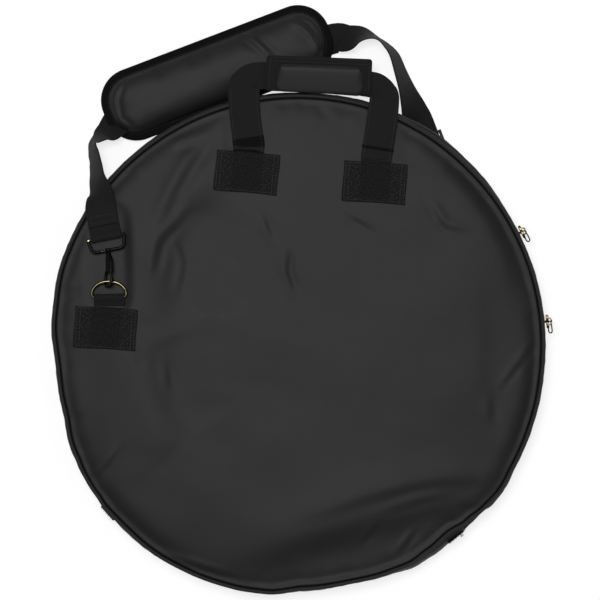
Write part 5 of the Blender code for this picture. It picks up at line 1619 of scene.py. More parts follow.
def make_slider(name, angle):
    """A zip slider with flanged plates and an arched bridge, and its wire pull."""
    turn = rotation(angle, "Z") @ Matrix.Translation((CHAIN_RING, 0, ZIP_Z))
    bm = bmesh.new()
    bmesh.ops.create_cube(bm, size=1.0)
    bmesh.ops.scale(bm, vec=PLATE_SIZE, verts=bm.verts)
    bmesh.ops.subdivide_edges(bm, edges=list(bm.edges), cuts=3, use_grid_fill=True)
    for vert in bm.verts:
        share = vert.co.y * 2 / PLATE_SIZE[1]
        vert.co.z *= 1.0 + 0.10 * share - 0.16 * share**4
        vert.co.x += PLATE_BOW * (1 - (vert.co.z * 2 / PLATE_SIZE[2]) ** 2)
    bmesh.ops.translate(bm, vec=(PLATE_INNER + PLATE_SIZE[0] / 2, 0, 0), verts=bm.verts)
    bmesh.ops.transform(bm, matrix=turn, verts=bm.verts)
    plate = new_object(name + "_plate", bm)
    rounding = plate.modifiers.new("rounding", "SUBSURF")
    rounding.levels = 1
    rounding.render_levels = 1
    with_modifiers_applied(plate)
    behind = turn @ Matrix.Translation((BACK_PLATE_X, 0, 0))
    lower = rounded_bar(name + "_lower", BACK_PLATE_SIZE, behind, 0.0005)
    between = turn @ Matrix.Translation((POST_X, 0, 0))
    post = rounded_bar(name + "_post", POST_SIZE, between, 0.0002)
    arch = BRIDGE_HALF_LINE + tuple((-y, x) for y, x in BRIDGE_HALF_LINE[::-1])
    line = [turn @ Vector((PLATE_INNER + BRIDGE_LIFT + x, y, 0)) for y, x in arch]
    line = [Vector(p) for p in smooth_route([tuple(p) for p in line], 4)]
    section = [(z * BRIDGE_HALF_THICKNESS, x * BRIDGE_HALF_WIDTH) for x, z in round_section(1.0, 12)]
    bridge = sweep(name + "_bridge", section, wire_frames(line, turn.to_3x3() @ UP))
    slider = joined(name + "_casting", [plate, lower, post, bridge])
    finished(slider, "slider", frame["nodes"][name]["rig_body"], (name,))
    lean = turn @ Matrix.Translation((HOOP_PIN_X, 0, 0))
    lean = lean @ rotation(HOOP_LEAN - 90, "Z")
    lean = lean @ rotation(HOOP_ROLL, "X")
    outline = rounded_outline(HOOP_LENGTH / 2, HOOP_HALF_WIDTH, HOOP_CORNER, 8)
    points = [lean @ Vector((p.x + HOOP_LENGTH / 2, 0, p.y)) for p in outline]
    hoop = wire_ring(name + "_hoop", points, lean.to_3x3() @ Vector((0, 1, 0)), HOOP_WIRE, 12)
    pull = name + "_pull"
    finished(hoop, "dark_metal", frame["nodes"][pull]["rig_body"], (pull,))


def sewn_patch(name, centre, size, height, out, body, turn=0.0, webbing_reach=0.8):
    """A rectangular patch with its edges turned under, raised over the webbing that is sewn beneath it."""
    cos, sin = math.cos(math.radians(turn)), math.sin(math.radians(turn))

    def spot(a, b):
        return centre[0] + a * cos - b * sin, centre[1] + a * sin + b * cos

    bm = bmesh.new()
    bmesh.ops.create_grid(bm, x_segments=40, y_segments=26, size=0.5)
    obj = new_object(name, bm)
    points = shape_array(obj.data)
    a, b = points[:, 0] * size[0], points[:, 1] * size[1]
    a = a + np.sin(b * 120) * PATCH_WAVER
    b = b + np.sin(a * 90 + 1) * PATCH_WAVER
    x, y = spot(a, b)
    edge = np.minimum(size[0] / 2 - np.abs(a), size[1] / 2 - np.abs(b))
    rise = smooth_step(edge / PATCH_EDGE_ROLL) * PATCH_EDGE_HEIGHT
    rise = rise + (1 - smooth_step((edge - PATCH_TURNING) / 0.002)) * PATCH_TURNING_HEIGHT
    beneath = smooth_step((WEBBING_WIDTH * 0.5 - np.abs(a)) / 0.003)
    beneath = beneath * smooth_step((b - size[1] * (0.5 - webbing_reach)) / 0.003)
    rise = rise + (beneath - 1) * PATCH_OVER_WEBBING
    points[:, 0], points[:, 1] = x, y
    points[:, 2] = height(x, y) + out * (SEAT_GAP + PATCH_THICKNESS + rise)
    lay_cloth_map(obj, lambda p: (a, b))
    set_shape(obj.data, points)
    if out < 0:
        obj.data.flip_normals()
    wall(obj, PATCH_THICKNESS - 0.0002)
    node = name.removesuffix("_cloth")
    finished(obj, "patch", body, (node,))
    half_x, half_y = size[0] / 2 - PATCH_SEAM_INSET, size[1] / 2 - PATCH_SEAM_INSET
    lines = [((-half_x, side * half_y), (half_x, side * half_y)) for side in (-1, 1)]
    for offset in (0.0, PATCH_SEAM_GAP):
        for side in (-1, 1):
            x_at = side * (half_x - offset)
            lines.append(((x_at, -half_y), (x_at, half_y)))
    rows = []
    for start, end in lines:
        along = np.linspace(start, end, 13)
        px, py = spot(along[:, 0], along[:, 1])
        pz = height(px, py) + out * (SEAT_GAP + PATCH_THICKNESS + 0.0002)
        rows.append(([Vector(point) for point in zip(px, py, pz)], Vector((0, 0, out))))
    stitches(node + "_seam", rows, body)


def hollow_surface(depth):
    """A level surface inside a hollow of the back panel."""
    return lambda x, y: np.full_like(x, depth)


def make_patches():
    """The handles' patches and the rings' patches, front and back."""
    handle_hollow = hollow_surface(HANDLE_HOLLOW_DEPTH)
    for side, sign in (("right", 1), ("left", -1)):
        centre = (sign * PATCH_CENTRE[0], PATCH_CENTRE[1])
        name = "handle_patch_" + side + "_cloth"
        sewn_patch("front_" + name, centre, PATCH_SIZE, front_surface, 1, "lid", 0.6 * sign)
        sewn_patch("back_" + name, centre, PATCH_SIZE, handle_hollow, -1, "bag_body")
    name, size = "ring_patch_cloth", RING_PATCH_SIZE
    sewn_patch("front_" + name, FRONT_PATCH_CENTRE, size, front_surface, 1, "lid", 1.0, 0.7)
    ring_hollow = hollow_surface(FIXING_HOLLOW_DEPTH)
    sewn_patch("back_" + name, (BACK_RING_X, BACK_PATCH_Y), size, ring_hollow, -1, "bag_body")


def back_handle_stations():
    """The back handle's loop from one hinge to the other, leaning out, round the corner and across."""
    side_x = PATCH_CENTRE[0]
    lean_x = side_x + HANDLE_LEAN
    top = HANDLE_HINGE_Y - HANDLE_REACH
    corner = HANDLE_CORNER
    half = (
        (side_x, HANDLE_HINGE_Y),
        (side_x + HANDLE_LEAN / 2, HANDLE_HINGE_Y - HANDLE_REACH * 0.28),
        (lean_x, HANDLE_HINGE_Y - HANDLE_REACH * 0.52),
        (lean_x, top + corner * 1.1),
        (lean_x - corner * 0.2, top + corner * 0.55),
        (lean_x - corner * 0.55, top + corner * 0.17),
        (lean_x - corner * 1.1, top),
        (lean_x - corner * 1.8, top),
    )
    right = [(x, y, BACK_HANDLE_Z, 0) for x, y in half]
    return right + [(-x, y, BACK_HANDLE_Z, 0) for x, y in half[::-1]]


def front_handle_run(sign, lean, pivot, widths):
    """One side of the front handle: up from its hinge, fanned round the corner, and into the grip."""
    over = SEAT_GAP + WEBBING_THICKNESS / 2
    side_x = PATCH_CENTRE[0]
    straight = HANDLE_HINGE_Y + HANDLE_STRAIGHT
    first, second = HANDLE_HINGE_Y + HANDLE_REACH * 0.28, HANDLE_HINGE_Y + HANDLE_REACH * 0.5
    run = [
        (side_x, HANDLE_HINGE_Y, float(front_height(side_x, HANDLE_HINGE_Y)) + over, 0, 1.0),
        (side_x + lean * 0.02, straight, float(front_height(side_x, straight)) + over, 0, 1.0),
        (side_x + lean * 0.45, first, float(front_height(side_x, first)) + over * 1.5, 0, 1.0),
        (side_x + lean * 0.8, second, HANDLE_RIM_Z, 0, 1.0),
    ]
    last = len(widths) - 1
    for step, width in enumerate(widths):
        turn = math.radians(90 * step / last)
        reach = WEBBING_WIDTH * width / 2 + 0.0004
        height = HANDLE_GRIP_Z + (HANDLE_RIM_Z - HANDLE_GRIP_Z) * 0.5 * max(0.0, 1 - step / 2)
        run.append((pivot[0] + reach * math.cos(turn), pivot[1] + reach * math.sin(turn), height, 0, width))
    run.append((pivot[0] - 0.012, pivot[1] + reach + 0.001, HANDLE_GRIP_Z, 0, widths[last]))
    run.append((pivot[0] - 0.032, GRIP_CENTRE_Y - 0.002, HANDLE_GRIP_Z, 0, 0.95))
    run.append((0.012, GRIP_CENTRE_Y, HANDLE_GRIP_Z, 0, 1.0))
    return [(sign * x, *rest) for x, *rest in run]


def make_front_handle():
    """The front handle's webbing with its seams, the dark bands of painted shade over it, its grip and its
    sewn ends.
    """
    right, left = (front_handle_run(*side) for side in FRONT_HANDLE_SIDES)
    stations = right + left[::-1]
    widths = [float(row[4]) for row in smooth_route(stations, 8)]
    obj = sweep("front_handle_strap", webbing_section(), ribbon_frames(stations, 8), scales=widths)
    finished(obj, "webbing", "front_handle", ("front_handle_webbing",))
    rows = []
    for side, run, (start, end) in (("right", right, HANDLE_SHADE_BANDS[0]), ("left", left, HANDLE_SHADE_BANDS[1])):
        frames = ribbon_frames(run[:5], 40)
        for offset in (HANDLE_SEAM_INSET - WEBBING_WIDTH / 2, WEBBING_WIDTH / 2 - HANDLE_SEAM_INSET):
            edge = Vector((offset, 0, WEBBING_THICKNESS / 2 + 0.0001))
            rows.append(([f @ edge for f in frames[::8]], UP))
        hinge = frames[0].translation
        near = [f for f in frames if start <= (f.translation - hinge).length <= end]
        section = webbing_section(WEBBING_WIDTH + BAND_EXTRA_WIDTH, WEBBING_THICKNESS + BAND_EXTRA_THICKNESS)
        # Each band is a dark sheet of binding cloth laid over the webbing as painted shade
        band = sweep("handle_band_" + side, section, near)
        finished(band, "binding", "front_handle")
    stitches("front_handle_seam", rows, "front_handle")
    make_grip()
    make_anchor("front_handle_anchor_right", 1, 1, "lid")
    # The left anchor is in the dark binding cloth: painted shade below the left band
    make_anchor("front_handle_anchor_left", -1, 1, "lid", "binding")


def make_anchor(name, sign, out, body, look_name="webbing"):
    """The handle's sewn end where it comes out of its patch."""
    y0 = PATCH_CENTRE[1] + PATCH_SIZE[1] / 2 - 0.002
    y1 = HANDLE_HINGE_Y - 0.0006
    x = sign * PATCH_CENTRE[0]
    y = np.linspace(y0, y1, 3)
    if out > 0:
        z = front_surface(np.full(3, x), y) + ANCHOR_RISE
    else:
        z = np.full(3, HANDLE_HOLLOW_DEPTH - ANCHOR_RISE)
    stations = [(x, float(y[n]), float(z[n]), 0) for n in range(3)]
    section = webbing_section(WEBBING_WIDTH * 0.985, ANCHOR_THICKNESS)
    finished(sweep(name, section, ribbon_frames(stations, 2)), look_name, body)


def layered_form(name, layers, place, corner_steps=8):
    """A soft form: a rounded rectangle raised through layers (half x, half y, corner, height, shift in y)."""
    bm = bmesh.new()
    rings = []
    for half_x, half_y, corner, height, shift in layers:
        outline = rounded_outline(half_x, half_y, corner, corner_steps)
        ring = [bm.verts.new(place @ (p + Vector((0, shift, height)))) for p in outline]
        rings.append([bm.edges.new((ring[k], ring[(k + 1) % len(ring)])) for k in range(len(ring))])
    for one, two in zip(rings, rings[1:]):
        bmesh.ops.bridge_loops(bm, edges=one + two)
    bmesh.ops.holes_fill(bm, edges=rings[0], sides=0)
    bmesh.ops.holes_fill(bm, edges=rings[-1], sides=0)
    bmesh.ops.recalc_face_normals(bm, faces=bm.faces)
    return new_object(name, bm)


def puffed(obj, voxel, pressure, cap, pinned, floor_z):
    remesh = obj.modifiers.new("even cells", "REMESH")
    remesh.mode = "VOXEL"
    remesh.voxel_size = voxel
    with_modifiers_applied(obj)
    before = shape_array(obj.data)
    held = obj.vertex_groups.new(name="held")
    for n, point in enumerate(before):
        weight = pinned(point)
        if weight > 0:
            held.add([n], weight, "REPLACE")
    cloth = obj.modifiers.new("stuffing", "CLOTH")
    cloth.settings.use_pressure = True
    cloth.settings.uniform_pressure_force = pressure
    cloth.settings.vertex_group_mass = "held"
    cloth.settings.effector_weights.gravity = 0.0
    cloth.settings.quality = 6
    scene = bpy.context.scene
    cloth.point_cache.frame_start = 1
    cloth.point_cache.frame_end = PUFF_FRAMES
    for number in range(1, PUFF_FRAMES + 1):
        scene.frame_set(number)
    with_modifiers_applied(obj)
    scene.frame_set(1)
    after = shape_array(obj.data)
    moved = after - before
    length = np.linalg.norm(moved, axis=1)
    keep = np.minimum(1.0, cap / np.maximum(length, 0.000001))
    after = before + moved * keep[:, None]
    set_shape(obj.data, after)
    obj.vertex_groups.clear()
    bm = bmesh.new()
    bm.from_mesh(obj.data)
    for _ in range(3):
        bmesh.ops.smooth_vert(
            bm, verts=bm.verts, factor=0.5, use_axis_x=True, use_axis_y=True, use_axis_z=True
        )
    bmesh.ops.subdivide_edges(bm, edges=list(bm.edges), cuts=1, use_grid_fill=True, smooth=0.6)
    bm.to_mesh(obj.data)
    bm.free()
    points = shape_array(obj.data)
    points[:, 2] = np.maximum(points[:, 2], floor_z)
    set_shape(obj.data, points)
    obj.data.polygons.foreach_set("use_smooth", [True] * len(obj.data.polygons))
    return obj


def make_grip():
    """The padded grip: a cushion under the webbing, and a flap over it, its panel raised on a flat border."""
    base_top = HANDLE_GRIP_Z - WEBBING_THICKNESS / 2 - SEAT_GAP
    thick = GRIP_BASE_THICKNESS
    base_low = base_top - thick
    half_x, half_y = GRIP_LENGTH / 2, GRIP_BORDER_HALF_WIDTH
    corner = GRIP_CORNER
    place = Matrix.Translation((0, GRIP_CENTRE_Y, 0)) @ rotation(GRIP_TURN, "Z")
    layers = [
        (half_x - thick * inset, half_y - thick * inset * 0.95, corner, base_low + thick * share, 0)
        for inset, share in GRIP_BASE_LAYERS
    ]
    base = layered_form("grip_cushion", layers, place)
    lay_cloth_map(base, lambda p: (p[:, 0].copy(), p[:, 1] + p[:, 2]))
    finished(base, "shell", "front_handle", ("grip_base",))

    low = HANDLE_GRIP_Z + WEBBING_THICKNESS / 2 + SEAT_GAP
    lip = low + GRIP_LIP_THICKNESS
    crest = low + GRIP_FLAP_THICKNESS
    rise = (crest - lip) * GRIP_PANEL_RISE_SHARE
    edge = GRIP_EDGE_ROUNDING
    layers = (
        (half_x - edge, half_y - edge, corner, low, 0),
        (half_x, half_y, corner, low + edge, 0),
        (half_x, half_y, corner, lip - edge, 0),
        (half_x - edge, half_y - edge, corner, lip, 0),
        (half_x - 0.0100, half_y - 0.0100, corner, lip, 0),
    )
    border = layered_form("grip_flap_border", layers, place)
    lay_cloth_map(border, lambda p: (p[:, 1].copy(), p[:, 0].copy()))
    finished(border, "webbing", "grip_cover", ("grip_flap",))

    panel_x = GRIP_PANEL_SIZE[0] / 2
    edge_low, edge_high = -half_y - 0.0006, half_y - 0.0088
    ridge_low, ridge_high = 0.0050, half_y - 0.0120
    layers = []
    for top_in, bottom_in, up in GRIP_PANEL_STEPS:
        bottom = edge_low + (ridge_low - edge_low) * bottom_in
        top = edge_high + (ridge_high - edge_high) * top_in
        round_off = min(0.0100, (top - bottom) / 2 * 0.98)
        size_x = panel_x - 0.0060 * (0.4 * top_in + 0.6 * bottom_in)
        layers.append((size_x, (top - bottom) / 2, round_off, lip + rise * up, (top + bottom) / 2))
    panel_place = place @ Matrix.Translation((GRIP_PANEL_SHIFT, 0, 0))
    flap = layered_form("grip_flap_cushion", layers, panel_place)
    points = shape_array(flap.data)
    high = smooth_step((points[:, 2] - lip - rise * 0.3) / (rise * 0.5))
    points[:, 2] += high * (ripple(points[:, 0], points[:, 1], 5, 0.03) * 0.0004)
    set_shape(flap.data, points)
    lay_cloth_map(flap, lambda p: (p[:, 0].copy(), p[:, 1] + p[:, 2]))
    finished(flap, "shell", "grip_cover")
    end_x, end_y, height = half_x - GRIP_SEAM_END, half_y - GRIP_SEAM_END, lip + 0.0001
    paths = [
        straight_row(place, (x, -end_y, height), (x, end_y, height), 8)
        for x in (-half_x + 0.0045, half_x - 0.0035)
    ]
    paths += [
        straight_row(place, (-end_x, y, height), (end_x, y, height), 16)
        for y in (half_y - 0.0025, half_y - 0.0072)
    ]
    stitches("grip_seam", [(path, UP) for path in paths], "grip_cover")
    for node in ("grip_velcro_loop", "grip_velcro_hook"):
        redress(node, "velcro")


def make_back_handle():
    """The back handle's webbing, flat under the bag, and its sewn ends."""
    frames = ribbon_frames(back_handle_stations(), 8)
    obj = sweep("back_handle_strap", webbing_section(), frames)
    finished(obj, "webbing", "back_handle", ("back_handle_webbing",))
    for side, sign in (("right", 1), ("left", -1)):
        make_anchor("back_handle_anchor_" + side, sign, -1, "bag_body")


def folded_band(name, bar_gap, legs, width, thickness, place):
    """Webbing folded round a bar at the place's origin, its two legs running along -X to be sewn together."""
    lower, upper = legs
    radius = bar_gap + thickness / 2
    settle = thickness + SEAT_GAP
    middle = [(-lower, -radius), (-lower * 0.6, -radius), (-radius, -radius)]
    middle += [(radius * math.cos(a), radius * math.sin(a)) for a in np.radians(np.linspace(-78, 90, 13))]
    middle += [(-radius, radius * 0.9), (-(radius + upper) / 2, 0.0), (-upper, -radius + settle)]
    line = [Vector((p[0], 0, p[1])) for p in smooth_route([(x, z) for x, z in middle], 3)]
    line = [place @ p for p in line]
    sideways = place.to_3x3() @ Vector((0, 1, 0))
    frames = []
    for n, here in enumerate(line):
        ahead = line[min(n + 1, len(line) - 1)]
        behind = line[max(n - 1, 0)]
        run = (ahead - behind).normalized()
        frames.append(placed(sideways, run, sideways.cross(run).normalized(), here))
    return sweep(name, webbing_section(width, thickness), frames)


def d_ring_points(place):
    """The D-ring's middle line: a straight bar, short sides and a round bow."""
    straight = RING_HALF_WIDTH - RING_CORNER
    corners = [Vector((0, straight * (n / 3 - 1), 0)) for n in range(7)]
    bend = []
    for n in range(1, 5):
        a = math.radians(90 * n / 5)
        bend.append(Vector((RING_CORNER * (1 - math.cos(a)), straight + RING_CORNER * math.sin(a), 0)))
    bow = []
    for n in range(33):
        a = math.radians(90 - 180 * n / 32)
        reach = RING_SIDE + (RING_DEPTH - RING_SIDE) * math.cos(a)
        bow.append(Vector((reach, RING_HALF_WIDTH * math.sin(a), 0)))
    other = [Vector((p.x, -p.y, 0)) for p in bend[::-1]]
    return [place @ p for p in corners + bend + bow + other]


def make_fixing(side, place, eye_turn, carrier):
    """Patch loop, D-ring, bolt snap hook with bolt and spring, swivel eye and the strap's sewn end."""
    gap = RING_WIRE + LOOP_INNER_GAP
    legs = (LOOP_LENGTH, LOOP_LENGTH)
    loop = folded_band(side + "_ring_band", gap, legs, LOOP_WIDTH, LOOP_THICKNESS, place)
    finished(loop, "webbing", carrier, (side + "_ring_loop",))
    lift = place @ rotation(-RING_LIFT_ANGLE, "Y")
    ring = wire_ring(side + "_ring_wire", d_ring_points(lift), lift.to_3x3() @ UP, RING_WIRE, 16)
    finished(ring, "ring", side + "_ring", (side + "_d_ring",))
    make_hook(side, place)
    make_eye(side, place, eye_turn, carrier)

    fold = strap_fold_line(place, eye_turn)
    gap = EYE_WIRE + LOOP_INNER_GAP
    legs = (FOLD_LOWER_LEG, FOLD_UPPER_LEG)
    band = folded_band(side + "_strap_end", gap, legs, WEBBING_WIDTH, WEBBING_THICKNESS, fold)
    finished(band, "webbing", carrier, (side + "_strap_fold",))
    height = -gap + WEBBING_THICKNESS * 1.5 + SEAT_GAP * 1.6
    edge = WEBBING_WIDTH / 2 - FOLD_SEAM_INSET
    near, far, wide = FOLD_SEAM_RUNS[0] - 0.0005, FOLD_SEAM_RUNS[1] + 0.0005, FOLD_SEAM_HALF_WIDTH
    paths = [straight_row(fold, (-near, y, height), (-far, y, height), 4) for y in (-edge, edge)]
    paths += [straight_row(fold, (-run, -wide, height), (-run, wide, height), 6) for run in FOLD_SEAM_RUNS]
    up = fold.to_3x3() @ UP
    stitches(side + "_strap_seam", [(path, up) for path in paths], carrier)


def make_eye(side, place, eye_turn, carrier):
    """The swivel eye: a wire frame for the strap, with the boss that the hook's stud turns in."""
    eye = eye_line(place, eye_turn)
    near, far, depth = EYE_NEAR_HALF_WIDTH, EYE_FAR_HALF_WIDTH, EYE_DEPTH
    corners = [Vector(p) for p in ((0, -near, 0), (0, near, 0), (depth, far, 0), (depth, -far, 0))]
    roundings = (EYE_NEAR_CORNER, EYE_NEAR_CORNER, EYE_FAR_CORNER, EYE_FAR_CORNER)
    smooth = rounded_loop(corners, roundings, 8)
    outline = []
    for n, p in enumerate(smooth):
        q = smooth[(n + 1) % len(smooth)]
        outline.append(p)
        if (q - p).length > 0.008:
            outline += [p.lerp(q, k / 4) for k in range(1, 4)]
    wire = wire_ring(side + "_eye_wire", [eye @ p for p in outline], eye.to_3x3() @ UP, EYE_WIRE, 14)
    profile = [(BOSS_CENTRE - away, radius) for away, radius in BOSS_HALF_PROFILE]
    profile += [(BOSS_CENTRE + away, radius) for away, radius in BOSS_HALF_PROFILE[::-1]]
    boss = turned_rod(side + "_eye_boss", hook_line(place), profile)
    united(wire, boss)
    smooth_by_angle(wire)
    finished(wire, "dark_metal", carrier, (side + "_swivel_eye",))


def turned_rod(name, place, profile, sides=24):
    """A form turned about the place's X axis: distance along it and radius, closed at both ends."""
    bm = bmesh.new()
    spun(bm, [(x, radius, 0) for x, radius in profile], (1, 0, 0), math.tau, sides, True)
    bmesh.ops.remove_doubles(bm, verts=bm.verts, dist=0.000004)
    bmesh.ops.holes_fill(bm, edges=[edge for edge in bm.edges if edge.is_boundary], sides=0)
    bmesh.ops.transform(bm, matrix=place, verts=bm.verts)
    bmesh.ops.recalc_face_normals(bm, faces=bm.faces)
    return new_object(name, bm)


def hook_body(name, place):
    """The hook's solid body, extruded from its square shoulder to its round neck."""
    bm = bmesh.new()
    ring = bmesh.ops.create_circle(bm, cap_ends=True, segments=28, radius=1.0)["verts"]
    bmesh.ops.rotate(bm, cent=(0, 0, 0), matrix=rotation(90, "Y").to_3x3(), verts=ring)
    face = bm.faces[:][0]
    last = Matrix.Identity(4)
    for x, wide, deep in BODY_STATIONS:
        share = min(max((x - BODY_START) / (NECK_END - BODY_START), 0.0), 1.0)
        centre = -BODY_OFFSET * (1 - float(smooth_step((share - 0.6) / 0.4)))
        half_size = (1, BODY_SIZE[0] / 2 * wide, BODY_SIZE[1] / 2 * deep, 1)
        shape = Matrix.Translation((x, centre, 0)) @ Matrix.Diagonal(half_size)
        if x > BODY_START:
            swept = bmesh.ops.extrude_face_region(bm, geom=[face])["geom"]
            face = [item for item in swept if isinstance(item, bmesh.types.BMFace)][0]
        bmesh.ops.transform(bm, matrix=shape @ last.inverted(), verts=list(face.verts))
        last = shape
    bmesh.ops.transform(bm, matrix=place, verts=bm.verts)
    bmesh.ops.recalc_face_normals(bm, faces=bm.faces)
    return new_object(name, bm)


def make_hook(side, place):
    """The snap hook: claw, bored and slotted body and swivel stud in one, with its bolt and thumb knob."""
    line = hook_line(place)
    rolled = line @ rotation(-HOOK_ROLL, "X")
    half, corner = CLAW_HALF_WIDTH, CLAW_CORNER
    low = CLAW_END + corner
    bend = [math.radians(90 + 90 * n / 5) for n in range(6)]
    claw = [(BODY_START + CLAW_WIRE, half * 0.62), (BODY_START - CLAW_WIRE * 0.6, half * 0.86)]
    claw += [(CLAW_TIP, half)]
    claw += [(low + corner * math.cos(a), half - corner + corner * math.sin(a)) for a in bend]
    claw += [(low + corner * math.cos(a), corner - half - corner * math.sin(a)) for a in bend[::-1]]
    claw += [((low + CLAW_TIP) / 2, -half), (CLAW_TIP, -half)]
    route = smooth_route([(x, y, 0) for x, y in claw], 3)
    frames = wire_frames([rolled @ Vector(p) for p in route], rolled.to_3x3() @ UP)
    wire = sweep(side + "_hook_claw", round_section(CLAW_WIRE, 16), frames)
    body = hook_body(side + "_hook_body", rolled)
    head = BOSS_CENTRE + BOSS_LENGTH / 2 + 0.0005
    stud = turned_rod(side + "_hook_stud", line, (
        (NECK_END - 0.0020, STUD_RADIUS), (head + 0.0001, STUD_RADIUS), (head, STUD_HEAD_RADIUS * 0.8),
        (head + 0.0003, STUD_HEAD_RADIUS), (head + 0.0010, STUD_HEAD_RADIUS),
        (head + 0.0016, STUD_HEAD_RADIUS * 0.6),
    ))
    united(body, wire, stud)
    slot_from = KNOB_POSITION - SLOT_WIDTH / 2
    slot_to = KNOB_POSITION + SLOT_WIDTH / 2 + BOLT_TRAVEL
    bolt_line = rolled @ Matrix.Translation((0, -BOLT_OFFSET, 0))
    slot_place = bolt_line @ Matrix.Translation(((slot_from + slot_to) / 2, -SLOT_DEPTH / 2, 0))
    slot = rounded_bar(side + "_slot", (slot_to - slot_from, SLOT_DEPTH, SLOT_WIDTH), slot_place, 0.0008)
    tip = CLAW_TIP + 0.0004
    bore_end = tip + BOLT_LENGTH + BOLT_TRAVEL + 0.0028
    bore_profile = ((BODY_START - 0.002, BORE_RADIUS), (bore_end, BORE_RADIUS))
    bore = turned_rod(side + "_bore", bolt_line, bore_profile, 16)
    united(body, slot, bore, operation="DIFFERENCE")
    smooth_by_angle(body)
    finished(body, "hook", side + "_hook", (side + "_snap_hook",))

    bolt_profile = ((tip, 0.0009), (tip + 0.0004, BOLT_RADIUS), (tip + BOLT_LENGTH, BOLT_RADIUS))
    bolt = turned_rod(side + "_bolt", bolt_line, bolt_profile, 18)
    out = bolt_line @ Matrix.Translation((KNOB_POSITION, 0, 0)) @ rotation(-90, "Z")
    knob = turned_rod(side + "_knob", out, KNOB_PROFILE, 16)
    united(bolt, knob)
    smooth_by_angle(bolt)
    finished(bolt, "hook", side + "_bolt", (side + "_hook_bolt",))
    redress(side + "_hook_spring", "steel")


def make_fixings():
    """The front fixing rides the lid, and the back one the bag's body."""
    make_fixing("front", FRONT_PLACE, EYE_TURN_FRONT, "lid")
    make_fixing("back", BACK_PLACE, EYE_TURN_BACK, "bag_body")


def strap_routes():
    """Stations of the strap's front run and of its run under the pad and the bag, as in the part."""
    across = PAD_ACROSS + STRAP_PAD_OFFSET
    left = pad_point(PAD_ALONG - SLEEVE_LENGTH * 0.62, across, STRAP_PAD_Z)
    middle = pad_point(PAD_ALONG, across, STRAP_PAD_Z)
    right = pad_point(PAD_ALONG + SLEEVE_LENGTH * 0.7, across, STRAP_PAD_Z)
    front = strap_start(strap_fold_line(FRONT_PLACE, EYE_TURN_FRONT))
    front += [route_station(*station) for station in STRAP_FRONT_SHARES]
    run = (left - middle).normalized()
    front += [(*(left + run * away), 0) for away in (WEBBING_WIDTH / 3, WEBBING_WIDTH / 6, SEAT_GAP * 2)]
    back = [(*left, 0), (*middle, 0), (*right, 0)]
    back += [route_station(*station) for station in STRAP_RIGHT_SHARES + STRAP_UNDER_SHARES]
    back += strap_start(strap_fold_line(BACK_PLACE, EYE_TURN_BACK))[::-1]
    return front, back


def make_strap():
    """The strap in two runs: up to the lid, and under the bag."""
    front, back = strap_routes()
    obj = sweep("strap_front_run", webbing_section(cells=12), ribbon_frames(front, 8))
    finished(obj, "webbing", None, ("strap_webbing_front",))
    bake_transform(obj)
    obj = sweep("strap_back_run", webbing_section(cells=12), ribbon_frames(back, 8))
    finished(obj, "webbing", "bag_body", ("strap_webbing_back",))
    redress("length_adjuster", "hook")


